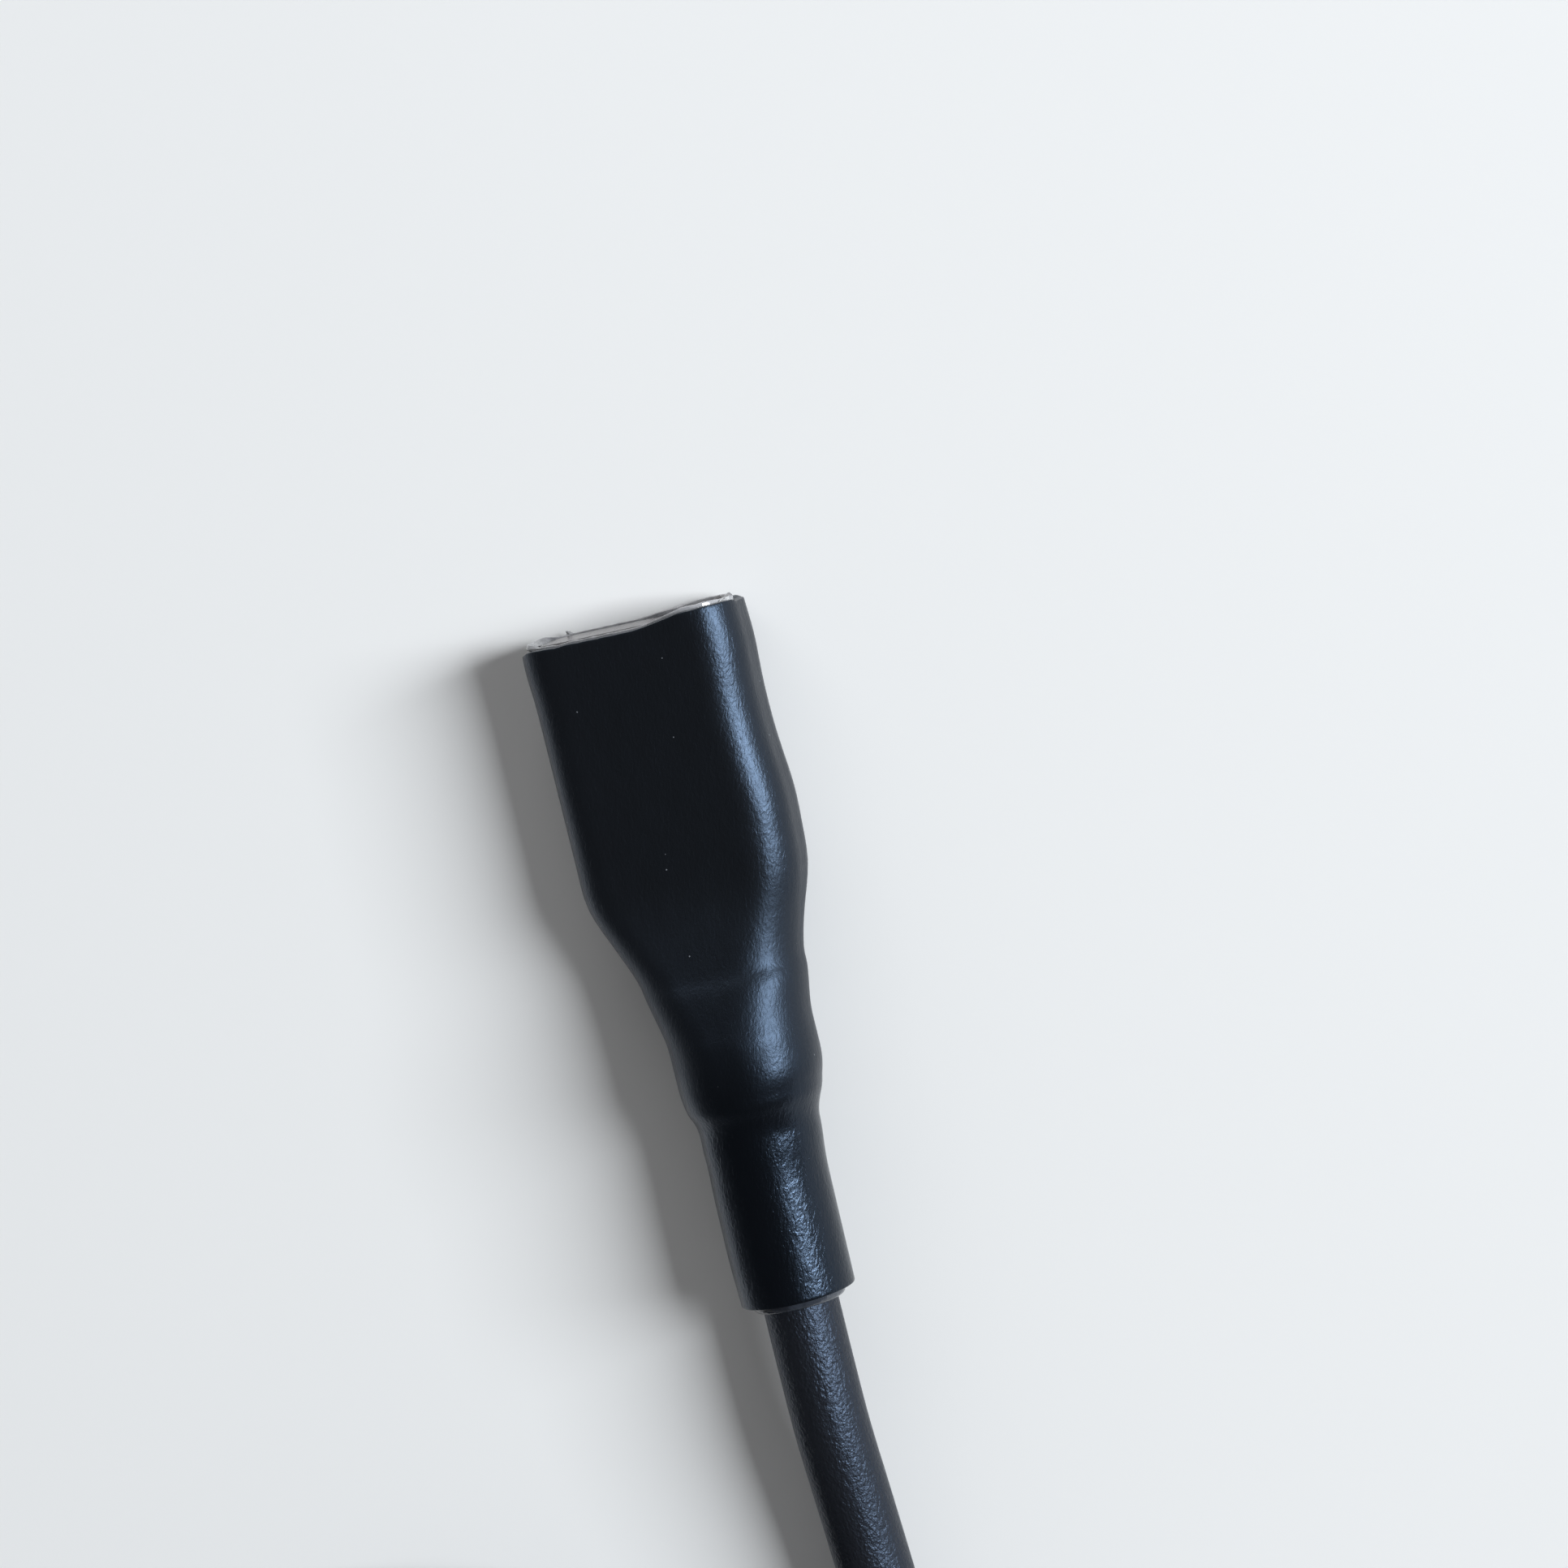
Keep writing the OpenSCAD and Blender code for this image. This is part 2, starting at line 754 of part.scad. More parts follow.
module inner_sleeve() {
    overlap = 0.3;
    color([0.09, 0.09, 0.1])
        run_along(ferrule_s - overlap, ferrule_s + ferrule_len + overlap)
            centred(cable_x, cable_z)
                difference() {
                    eared(ferrule_r + inner_wall, ear_r + inner_wall);
                    eared(ferrule_r + touch, ear_r + touch);
                }
}

// Free cable: the route's points are chosen by hand
layer_h = cable_d + coil_gap;
tie_gap = 0.3;
coil_z = cable_d / 2 + tie_gap + tie_t;
top_z = coil_z + layer_h;
coil_x = 2;
coil_y = -93;
boot_r = boot_d / 2;

lead_route = [
    [cable_x, exit_y, cable_z], [cable_x, -37, cable_z], [0.6, -43, 5.7], [0.7, -49, 5.1], [0.8, -55, 4.5],
    [1, -61, 4.2], [1.3, -67, coil_z], [1.7, -73, coil_z], [coil_x, -79, coil_z], [coil_x, -82.5, coil_z],
    [coil_x, coil_y + cable_d, coil_z]
];

module cable_lead() {
    color([0.05, 0.05, 0.055])
        swept_tube(lead_route, cable_d / 2, 10);
}

// The coil winds clockwise: in along the floor, up a layer in the half turn where it reverses, and out again
loop_steps = 24;
layer_steps = round(layer_turns * loop_steps);
climb_steps = loop_steps / 2;
coil_steps = 2 * layer_steps + climb_steps;
turn_r = coil_r - layer_turns * layer_h;
function coil_radius(i) =
    let (u = i / loop_steps, v = u - layer_turns)
    i <= layer_steps ? coil_r - layer_h * u
    : i <= layer_steps + climb_steps ? turn_r - layer_h * (v - 2 * v * v)
    : turn_r + layer_h * (v - 0.5);
function coil_height(i) =
    coil_z + layer_h * ease(min(max((i - layer_steps) / climb_steps, 0), 1));
coil_centre = [coil_x - coil_r, coil_y];
end_len = 2;
function coil_point(i) =
    let (a = -360 * i / loop_steps)
    [coil_centre[0] + coil_radius(i) * cos(a), coil_centre[1] + coil_radius(i) * sin(a), coil_height(i)];
coil_turns = [for (i = [0:coil_steps]) coil_point(i)];
coil_route = concat(
    [coil_turns[0] + [0, cable_d, 0], coil_turns[0] + [0, cable_d / 2, 0]],
    coil_turns,
    [coil_turns[coil_steps] - [0, end_len / 2, 0], coil_turns[coil_steps] - [0, end_len, 0]]);
coil_least_gap = min([for (i = [0:coil_steps], j = [0:coil_steps])
    if (j - i > loop_steps * 2 / 3) norm(coil_turns[j] - coil_turns[i])]) - cable_d;
echo(coil_least_gap = coil_least_gap);

module cable_coil() {
    color([0.05, 0.05, 0.055])
        swept_tube(coil_route, cable_d / 2, 6);
}

// From the coil's end the cable follows the outer turn a little, bends inwards and climbs on to the turns
follow_angle = 20;
bend_r = 29;
follow_pivot = coil_centre - [0, end_len + 1];
bend_pivot = follow_pivot + (coil_r - bend_r) * [cos(follow_angle), -sin(follow_angle)];
plug_gap = 0.1;
plug_x = bend_pivot[0] - 3;
plug_y = bend_pivot[1] - bend_r;
plug_z = top_z + cable_d / 2 + boot_r + plug_gap;
function tail_share(a) =
    (coil_r * min(a, follow_angle) + bend_r * max(a - follow_angle, 0))
    / (coil_r * follow_angle + bend_r * (90 - follow_angle));
function tail_point(a) =
    let (follows = a < follow_angle, pivot = follows ? follow_pivot : bend_pivot, r = follows ? coil_r : bend_r)
    [pivot[0] + r * cos(a), pivot[1] - r * sin(a), blend(top_z, plug_z, ease(tail_share(a)))];
tail_route = concat(
    [tail_point(0) + [0, 1, 0]],
    [for (a = [0:5:90]) tail_point(a)],
    [[plug_x, plug_y, plug_z]]);
module cable_tail() {
    color([0.05, 0.05, 0.055])
        swept_tube(tail_route, cable_d / 2, 10);
}

// Strap round the turns, half a turn after the lead comes in
module tie_outline(grow) {
    hull()
        for (u = [0.5, 1.5, 2.5])
            let (i = u * loop_steps)
                translate([coil_radius(i), coil_height(i)])
                    circle(cable_d / 2 + grow, $fn = 32);
}

module coil_tie() {
    color([0.16, 0.16, 0.17])
        translate([coil_centre[0], coil_centre[1] - tie_w / 2, 0])
            rotate([90, 0, 180])
                linear_extrude(tie_w)
                    difference() {
                        tie_outline(tie_gap + tie_t);
                        tie_outline(tie_gap);
                    }
}

// Plug: moulded boot and three contacts with two insulating rings
insulator_len = 0.6;
ring_len = 2.4;
tip_len = 4.7;
boot_len = relief_len + grip_len;
module at_plug(back) {
    translate([plug_x - back, plug_y, plug_z])
        rotate([0, -90, 0])
            children();
}

module plug_boot() {
    relief_r = cable_d / 2 + 0.4;
    ribs = 4;
    rib_len = relief_len / (2 * ribs);
    color([0.05, 0.05, 0.055])
        at_plug(0)
            union() {
                cylinder(h = relief_len, r = relief_r);
                for (i = [0:ribs - 1])
                    translate([0, 0, (2 * i + 1) * rib_len])
                        cylinder(h = rib_len, r = boot_r - 0.4);
                translate([0, 0, relief_len])
                    cylinder(h = grip_len - 1, r = boot_r);
                translate([0, 0, boot_len - 1])
                    cylinder(h = 1, r1 = boot_r, r2 = boot_r - 0.8);
            }
}

module plug_sleeve() {
    color([0.8, 0.8, 0.82])
        at_plug(boot_len)
            cylinder(h = plug_sleeve_len, r = plug_d / 2);
}

module plug_ring() {
    color([0.8, 0.8, 0.82])
        at_plug(boot_len + plug_sleeve_len + insulator_len)
            cylinder(h = ring_len, r = plug_d / 2);
}

// The tip: a cone out of the last insulator, a rounded head behind a waist
module plug_tip() {
    r = plug_d / 2;
    color([0.8, 0.8, 0.82])
        at_plug(boot_len + plug_sleeve_len + 2 * insulator_len + ring_len)
            rotate_extrude()
                polygon([[0, 0], [r, 0], [r, 0.6], [0.66 * r, 2], [0.66 * r, 2.3], [0.9 * r, 3.2],
                         [0.9 * r, 3.5], [0.3 * r, tip_len], [0, tip_len]]);
}

module plug_insulators() {
    color([0.08, 0.08, 0.08])
        for (back = [plug_sleeve_len, plug_sleeve_len + insulator_len + ring_len])
            at_plug(boot_len + back)
                cylinder(h = insulator_len, r = plug_d / 2);
}

outer_sleeve();
adhesive_liner();
glue_bead();
front_shell();
rear_shell();
housing_screws();
press_key();
return_springs();
common_leaf();
half_press_leaf();
release_leaf();
contact_points();
leaf_spacers();
clamp_plate();
contact_block();
pile_screw();
solder_joints();
core_common();
core_focus();
core_release();
core_grommet();
jacket_end();
filler_yarn();
crimp_ferrule();
inner_sleeve();
cable_lead();
cable_coil();
cable_tail();
coil_tie();
plug_boot();
plug_sleeve();
plug_ring();
plug_tip();
plug_insulators();
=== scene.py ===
import json
import math

import bpy
from mathutils import Matrix, Vector, noise

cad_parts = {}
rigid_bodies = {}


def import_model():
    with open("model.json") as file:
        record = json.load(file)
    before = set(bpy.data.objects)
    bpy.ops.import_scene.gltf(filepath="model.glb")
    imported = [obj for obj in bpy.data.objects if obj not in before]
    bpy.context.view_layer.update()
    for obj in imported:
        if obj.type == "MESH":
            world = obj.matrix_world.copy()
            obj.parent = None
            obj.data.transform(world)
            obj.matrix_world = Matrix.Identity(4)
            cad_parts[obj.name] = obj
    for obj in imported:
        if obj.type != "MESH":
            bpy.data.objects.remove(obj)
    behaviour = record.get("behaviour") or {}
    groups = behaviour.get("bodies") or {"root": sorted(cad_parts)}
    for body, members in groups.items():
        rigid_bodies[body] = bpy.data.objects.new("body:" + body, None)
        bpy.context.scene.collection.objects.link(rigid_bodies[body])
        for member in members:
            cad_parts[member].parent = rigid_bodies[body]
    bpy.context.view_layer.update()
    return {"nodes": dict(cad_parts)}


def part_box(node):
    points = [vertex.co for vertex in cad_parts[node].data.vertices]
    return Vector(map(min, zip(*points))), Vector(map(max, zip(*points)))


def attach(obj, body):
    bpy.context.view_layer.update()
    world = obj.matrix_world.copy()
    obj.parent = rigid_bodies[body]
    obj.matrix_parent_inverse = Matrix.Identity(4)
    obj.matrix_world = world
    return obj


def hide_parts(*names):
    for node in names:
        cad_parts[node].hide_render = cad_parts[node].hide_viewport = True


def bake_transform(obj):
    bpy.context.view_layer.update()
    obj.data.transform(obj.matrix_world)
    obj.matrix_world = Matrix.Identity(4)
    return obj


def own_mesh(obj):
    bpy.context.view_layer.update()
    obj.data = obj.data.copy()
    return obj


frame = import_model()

mm = 0.001
touching = 0.01 * mm

# Sizes of the head, as the part's source has them. Lengths along it are given as s, from the sleeve's mouth
sleeve_len = 60.8 * mm
sleeve_wall = 0.9 * mm
liner_wall = 0.5 * mm
rim_proud = 0.3 * mm
bead_len = 0.6 * mm
bead_gap = 0.04 * mm
bead_w = 0.85 * mm
bead_root = 2 * mm
block_w = 20.2 * mm
block_t = 9 * mm
block_r = 3.7 * mm
block_len = 23.5 * mm
collar_s = 37 * mm
collar_len = 4.2 * mm
collar_w = 13.1 * mm
collar_t = 12.2 * mm
collar_x = 1.3 * mm
step_len = 4.6 * mm
tail_d = 10.6 * mm
tail_end_d = 10.3 * mm
cable_d = 6.8 * mm
cable_x = 0.6 * mm
cable_z = 5.9 * mm
cable_r = cable_d / 2
mid_z = block_t / 2
mouth_y = (sleeve_len + bead_len - rim_proud) / 2
exit_y = mouth_y - sleeve_len
collar_end_s = collar_s + collar_len
tail_s = collar_end_s + step_len
inner_tube_edge = 0.24 * mm

key_inset = 0.1 * mm
key_t = 2.6 * mm
key_gap = 0.2 * mm
key_lip = 0.3 * mm
stem_w = 6 * mm
stem_t = 3 * mm
flange_t = 0.9 * mm
flange_margin = 1.2 * mm
flange_gap = 0.05 * mm
plunger_x = 2.4 * mm
plunger_w = 1.4 * mm
plunger_half_h = 0.9 * mm
peg_r = 1.05 * mm
peg_len = 1.7 * mm
peg_chamfer = 0.15 * mm
laps = 0.2 * mm
spring_len = 3.3 * mm
spring_x = 6 * mm
shell_wall = 0.9 * mm
skin = sleeve_wall + liner_wall
key_face_y = mouth_y - key_inset + rim_proud
key_back_y = key_face_y - key_t
key_half_w = block_w / 2 - skin - key_gap
key_half_t = block_t / 2 - skin - key_gap


def between(a, b, t):
    return a + (b - a) * t


def ease(t):
    t = min(max(t, 0), 1)
    return t * t * (3 - 2 * t)


# ---------------------------------------------------------------- camera
def make_camera():
    """Looks down on the head from its right, with the tail towards the lower right corner."""
    to_camera = Vector((0.34, 0.105, 0.934)).normalized()
    lean = math.radians(13.8)
    distance = 0.55
    looked_at = Vector((9.0, 13.9, 1.2)) * mm
    along = Vector((0, 1, 0))
    along = (along - to_camera * along.dot(to_camera)).normalized()
    across = along.cross(to_camera)
    right = across * math.cos(lean) - along * math.sin(lean)
    up = across * math.sin(lean) + along * math.cos(lean)
    turn = Matrix((right, up, to_camera)).transposed().to_4x4()
    data = bpy.data.cameras.new("camera")
    data.lens = 143.5
    data.sensor_width = 36
    data.clip_start = 0.01
    camera = bpy.data.objects.new("camera", data)
    camera.matrix_world = Matrix.Translation(looked_at + to_camera * distance) @ turn
    bpy.context.collection.objects.link(camera)
    bpy.context.scene.camera = camera


make_camera()


# ---------------------------------------------------------------- finishes
class Value:
    """A number in a finish. Sums, products and the like of these add Math nodes."""

    def __init__(self, finish, socket):
        self.finish = finish
        self.socket = socket

    def maths(self, operation, first, second=0.0):
        return self.finish.node("ShaderNodeMath", {"operation": operation}, {0: first, 1: second})

    def __add__(self, other):
        return self.maths("ADD", self, other)

    def __sub__(self, other):
        return self.maths("SUBTRACT", self, other)

    def __rsub__(self, other):
        return self.maths("SUBTRACT", other, self)

    def __mul__(self, other):
        return self.maths("MULTIPLY", self, other)

    __radd__ = __add__
    __rmul__ = __mul__

    def rise(self, low, high):
        """0 below low and 1 above high, with a soft step between."""
        return self.finish.node(
            "ShaderNodeMapRange", {"interpolation_type": "SMOOTHSTEP"},
            {"Value": self, "From Min": low, "From Max": high})


class Finish:
    """A material and the nodes that work out its surface. Patterns are measured in millimetres."""

    def __init__(self, name, colour, roughness, **constants):
        self.material = bpy.data.materials.new(name)
        self.material.use_nodes = True
        self.tree = self.material.node_tree
        self.shader = self.tree.nodes["Principled BSDF"]
        self.wear({"Base Color": (*colour, 1), "Roughness": roughness})
        self.wear({name.replace("_", " "): value for name, value in constants.items()})

    def node(self, kind, settings=None, sockets=None, output=0):
        made = self.tree.nodes.new(kind)
        for name, value in (settings or {}).items():
            setattr(made, name, value)
        for name, value in (sockets or {}).items():
            self.join(made.inputs[name], value)
        return Value(self, made.outputs[output])

    def join(self, socket, value):
        if isinstance(value, Value):
            self.tree.links.new(value.socket, socket)
        else:
            socket.default_value = value

    def wear(self, sockets):
        for name, value in sockets.items():
            self.join(self.shader.inputs[name], value)

    def place(self, stretch=(1, 1, 1), turn=(0, 0, 0)):
        """The place on the object in millimetres, turned and then drawn out."""
        at = self.node("ShaderNodeTexCoord", output=3)
        return self.node("ShaderNodeMapping", {"vector_type": "TEXTURE"}, {
            "Vector": at, "Rotation": [math.radians(a) for a in turn], "Scale": [k * mm for k in stretch]})

    def along_cable(self, stretch=1):
        """The place on the cable in millimetres, as if it were laid out straight."""
        uv = self.node("ShaderNodeUVMap", {"uv_map": "along"})
        split = self.node("ShaderNodeSeparateXYZ", sockets={0: uv})
        angle = split * (1 / cable_r)
        long = Value(self, split.socket.node.outputs[1])
        radius = cable_r / mm
        return self.node("ShaderNodeCombineXYZ", sockets={
            "X": angle.maths("COSINE", angle) * radius, "Y": angle.maths("SINE", angle) * radius,
            "Z": long * (1 / (mm * stretch))})

    def part(self, place, axis):
        split = self.node("ShaderNodeSeparateXYZ", sockets={0: place})
        return Value(self, split.socket.node.outputs["XYZ".index(axis)])

    def grain(self, place, size, detail=2.0, distortion=0.0, roughness=0.5):
        """Noise from 0 to 1 whose lumps are about that many millimetres long."""
        return self.node("ShaderNodeTexNoise", sockets={
            "Vector": place, "Scale": 1 / size, "Detail": detail, "Distortion": distortion,
            "Roughness": roughness})

    def cells(self, place, size):
        """Distance to the nearest of points strewn about that far apart in millimetres, in units of it."""
        return self.node("ShaderNodeTexVoronoi", sockets={"Vector": place, "Scale": 1 / size})

    def mix(self, mask, first, second):
        made = self.node("ShaderNodeMix", {"data_type": "RGBA"}, {0: mask}, output=2)
        for index, colour in ((6, first), (7, second)):
            self.join(made.socket.node.inputs[index], colour if isinstance(colour, Value) else (*colour, 1))
        return made

    def relief(self, height):
        """Raises the surface by a height in millimetres."""
        self.wear({"Normal": self.node("ShaderNodeBump", sockets={"Height": height * mm, "Distance": 1.0})})


def sleeve_finish():
    """Black shrink sleeve: half gloss, drawn into fine wrinkles along it, with a few specks of dust."""
    black, paler_head, dust = (0.002, 0.0022, 0.0028), (0.0055, 0.0058, 0.0066), (0.16, 0.17, 0.19)
    finish = Finish("shrunk_sleeve", black, 0.3, Specular_Tint=(0.48, 0.68, 1, 1))
    back = finish.part(finish.place(), "Y")
    slim = 1 - back.rise(-16, 8)
    on_collar = back.rise(-11, -7) * (1 - back.rise(3, 9))
    on_tail = 1 - back.rise(-14, -11)
    wrinkles = finish.grain(finish.place((1, 2.2, 1), (0, 0, -18)), 0.32, 2.5, 0.8, 0.55)
    pores = finish.grain(finish.place((1, 1.4, 1)), 0.2, 2)
    lumps = finish.grain(finish.place((1, 1.8, 1)), 3.2, 1)
    finish.relief(wrinkles * (0.044 - 0.012 * slim + 0.016 * on_tail) + pores * 0.014 + lumps * 0.05)
    specks = 1 - finish.cells(finish.place(), 2.4).rise(0.022, 0.032)
    dull = 0.31 - 0.07 * slim + 0.09 * on_collar - 0.04 * on_tail
    # The base colour is a little paler on the head and darker along the tail.
    finish.wear({
        "Base Color": finish.mix(specks, finish.mix(slim, paler_head, black), dust),
        "Roughness": dull + 0.1 * finish.grain(finish.place((1, 2, 1)), 1.4, 2)})
    return finish.material


def jacket_finish():
    """Matt black cable jacket with a fine pebbled grain."""
    black = (0.0085, 0.0088, 0.0105)
    finish = Finish("cable_jacket", black, 0.5, Specular_Tint=(0.5, 0.68, 1, 1))
    pebbles = finish.grain(finish.along_cable(1.3), 0.34, 2, 0.3, 0.6)
    lumps = finish.grain(finish.along_cable(2), 1.6, 1)
    finish.relief(pebbles * 0.12 + lumps * 0.05)
    finish.wear({"Roughness": 0.33 + 0.12 * finish.grain(finish.along_cable(), 0.7, 1)})
    return finish.material


def shade(colour, share):
    return tuple(share * part for part in colour)


def moulded_finish(name, colour, roughness, fine=0.22, height=0.012, **constants):
    """Moulded plastic or rubber: faint cloudy tone, fine grain and slow unevenness."""
    finish = Finish(name, colour, roughness, **constants)
    cloud = finish.grain(finish.place(), 2.6, 3)
    finish.relief(finish.grain(finish.place(), fine, 2) * height + cloud * 0.03)
    finish.wear({
        "Base Color": finish.mix(cloud, shade(colour, 0.75), shade(colour, 1.25)),
        "Roughness": roughness - 0.07 + 0.14 * finish.grain(finish.place(), 1.1, 2)})
    return finish.material


def metal_finish(name, colour, tarnish, roughness, stretch=(1, 1, 1), height=0.003):
    """Metal with drawing or turning marks that run the way it is stretched, and thin stains."""
    finish = Finish(name, colour, roughness, Metallic=1)
    marks = finish.grain(finish.place(stretch), 0.1, 3)
    stains = finish.grain(finish.place(), 1.6, 3, 0.5).rise(0.5, 0.78)
    finish.relief(marks * height)
    finish.wear({
        "Base Color": finish.mix(stains * 0.7, colour, tarnish),
        "Roughness": roughness + marks * 0.12 + stains * 0.16})
    return finish.material


def key_finish():
    """Pale glossy moulding, with painted shade in a narrow band round its face, where the gap round the key
    shades it.
    """
    pale, deep, gap_shade = (0.17, 0.148, 0.153), (0.115, 0.1, 0.105), (0.035, 0.033, 0.036)
    finish = Finish("key", pale, 0.24, Coat_Weight=0.2, Coat_Roughness=0.08)
    at = finish.place()
    across = finish.part(at, "X").maths("ABSOLUTE", finish.part(at, "X"))
    up = finish.part(at, "Z") - mid_z / mm
    inside = (key_half_w / mm - across).maths(
        "MINIMUM", key_half_w / mm - across, key_half_t / mm - up.maths("ABSOLUTE", up))
    # Painted shade: the face is painted darker in a band about 1 mm wide along its edges, where the gap
    # round the key shades it.
    edge = 1 - inside.rise(0.25, 1.2)
    cloud = finish.grain(finish.place((2.5, 1, 1)), 0.9, 3)
    finish.relief(finish.grain(finish.place(), 0.3, 2) * 0.012 + cloud * 0.05)
    finish.wear({
        "Base Color": finish.mix(edge * 0.85, finish.mix(cloud, deep, pale), gap_shade),
        "Roughness": 0.18 + 0.14 * finish.grain(finish.place(), 0.8, 2)})
    return finish.material


def lining_finish(name, thin, milky_and_lit_colour, roughness):
    """Clear hot-melt lining: glossy, cloudy where the glue is heavier, with small bubbles, and painted paler
    towards +X as painted light.
    """
    finish = Finish(name, thin, roughness, Coat_Weight=0.5, Coat_Roughness=0.05)
    milky_and_painted_light = finish.grain(finish.place((1.6, 1, 1)), 0.7, 3, 0.5).rise(0.35, 0.7) * 0.6
    # Painted light: paler towards +X, to lighten the rim where it lies in shade. The noise above is the
    # lining's own cloudy tone.
    milky_and_painted_light = milky_and_painted_light + finish.part(finish.place(), "X").rise(0, 6) * 0.9
    bubbles = 1 - finish.cells(finish.place(), 0.9).rise(0.08, 0.16)
    finish.relief(finish.grain(finish.place(), 0.5, 2) * 0.07 + bubbles * 0.02)
    finish.wear({"Base Color": finish.mix(milky_and_painted_light + bubbles * 0.3, thin, milky_and_lit_colour)})
    return finish.material


def woven_finish(threads, rows):
    """Flat woven strap: threads pass over and under each other, with fuzz between."""
    finish = Finish("woven_tie", (0.028, 0.028, 0.031), 0.85, Sheen_Weight=0.3)
    uv = finish.node("ShaderNodeUVMap", {"uv_map": "UVMap"})
    long = finish.part(uv, "X") * (2 * math.pi * threads)
    wide = finish.part(uv, "Y") * (2 * math.pi * rows)
    over = long.maths("SINE", long) * wide.maths("SINE", wide)
    fuzz = finish.grain(finish.place(), 0.14, 2)
    finish.relief(over * 0.07 + fuzz * 0.05)
    finish.wear({"Base Color": finish.mix(over * 0.5 + fuzz, (0.012, 0.012, 0.014), (0.045, 0.045, 0.05))})
    return finish.material


def floor_finish():
    """Pale matt card."""
    finish = Finish("floor", (0.86, 0.86, 0.86), 0.9)
    finish.wear({"Roughness": 0.85 + 0.1 * finish.grain(finish.place(), 3, 2)})
    return finish.material


def yarn_finish():
    """Loosely twisted filler thread."""
    finish = Finish("filler_yarn", (0.6, 0.56, 0.45), 0.9, Sheen_Weight=0.3)
    strands = finish.grain(finish.place((1, 5, 1), (0, 0, 24)), 0.2, 3)
    finish.relief(strands * 0.08)
    finish.wear({"Base Color": finish.mix(strands, (0.4, 0.36, 0.27), (0.72, 0.68, 0.56))})
    return finish.material


# ---------------------------------------------------------------- making meshes
def deselect():
    for thing in bpy.context.view_layer.objects:
        thing.select_set(False)


def select(piece):
    deselect()
    piece.select_set(True)
    bpy.context.view_layer.objects.active = piece


def new_piece(name):
    piece = bpy.context.object
    piece.name = name
    piece.data.name = name
    return piece


def use(piece, kind, **settings):
    """Adds a modifier and applies it."""
    select(piece)
    modifier = piece.modifiers.new(kind.lower(), kind)
    for name, value in settings.items():
        setattr(modifier, name, value)
    bpy.ops.object.modifier_apply(modifier=modifier.name)


def soften(piece, width, segments, angle=60):
    """Rounds the edges that turn by more than that many degrees."""
    limit = math.radians(angle)
    use(piece, "BEVEL", width=width, segments=segments, limit_method="ANGLE", angle_limit=limit)


def merge_with(piece, tool, operation):
    """Joins a second mesh to the piece, or cuts it away, and deletes it."""
    use(piece, "BOOLEAN", operation=operation, object=tool)
    bpy.data.objects.remove(tool)


def close_up(piece):
    """Merges doubled vertices and turns all faces outwards."""
    select(piece)
    bpy.ops.object.mode_set(mode="EDIT")
    bpy.ops.mesh.select_all(action="SELECT")
    bpy.ops.mesh.remove_doubles(threshold=0.002 * mm)
    bpy.ops.mesh.normals_make_consistent(inside=False)
    bpy.ops.object.mode_set(mode="OBJECT")


def pick_edges(piece, wanted):
    """Selects edges by their two ends and leaves the piece in edit mode."""
    bpy.ops.object.mode_set(mode="EDIT")
    bpy.ops.mesh.select_mode(type="EDGE")
    bpy.ops.mesh.select_all(action="DESELECT")
    bpy.ops.object.mode_set(mode="OBJECT")
    for edge in piece.data.edges:
        edge.select = wanted(*(piece.data.vertices[i].co for i in edge.vertices))
    bpy.ops.object.mode_set(mode="EDIT")


def pick_faces(piece, wanted):
    """Selects faces and leaves the piece in edit mode."""
    bpy.ops.object.mode_set(mode="EDIT")
    bpy.ops.mesh.select_mode(type="FACE")
    bpy.ops.mesh.select_all(action="DESELECT")
    bpy.ops.object.mode_set(mode="OBJECT")
    for face in piece.data.polygons:
        face.select = wanted(face)
    bpy.ops.object.mode_set(mode="EDIT")


def box_between(name, low, high):
    """A box between two corners, as a start for a moulded piece."""
    low, high = Vector(low), Vector(high)
    bpy.ops.mesh.primitive_cube_add(size=1, location=(low + high) / 2)
    piece = new_piece(name)
    bpy.ops.transform.resize(value=high - low)
    bpy.ops.object.transform_apply(location=True, rotation=True, scale=True)
    return piece


def lathe_rows(name, sides, cuts):
    """An open tube of one row, cut into rows twice over. Its vertices get their places afterwards."""
    bpy.ops.mesh.primitive_cylinder_add(
        vertices=sides, radius=1, depth=1, end_fill_type="NOTHING", rotation=(math.pi / 2, 0, 0))
    piece = new_piece(name)
    bpy.ops.object.transform_apply(location=True, rotation=True, scale=True)
    for number in cuts:
        pick_edges(piece, lambda a, b: abs(a.y - b.y) > touching)
        bpy.ops.mesh.subdivide(number_cuts=number)
        bpy.ops.object.mode_set(mode="OBJECT")
    return piece


def turned(name, start, way, profile, sides=64):
    """A closed round piece: each (distance, radius) of the profile draws out and resizes the last ring."""
    start, way = Vector(start), Vector(way)
    distance, radius = profile[0]
    bpy.ops.mesh.primitive_circle_add(
        vertices=sides, radius=radius, fill_type="NGON", location=start + way * distance,
        rotation=way.to_track_quat("Z", "Y").to_euler())
    piece = new_piece(name)
    bpy.ops.object.mode_set(mode="EDIT")
    bpy.ops.mesh.select_all(action="SELECT")
    for next_distance, next_radius in profile[1:]:
        step = way * (next_distance - distance)
        bpy.ops.mesh.extrude_region_move(TRANSFORM_OT_translate={"value": step})
        grow = next_radius / radius
        bpy.ops.transform.resize(value=(grow, grow, grow), center_override=start + way * next_distance)
        distance, radius = next_distance, next_radius
    bpy.ops.object.mode_set(mode="OBJECT")
    return piece


def hollow_turned(name, start, way, profile, sides=64):
    """A ring: the profile's first and last points meet, so the bore stays open."""
    piece = turned(name, start, way, profile + [profile[0]], sides)
    pick_faces(piece, lambda face: len(face.vertices) == sides)
    bpy.ops.mesh.delete(type="ONLY_FACE")
    close_up(piece)
    return piece


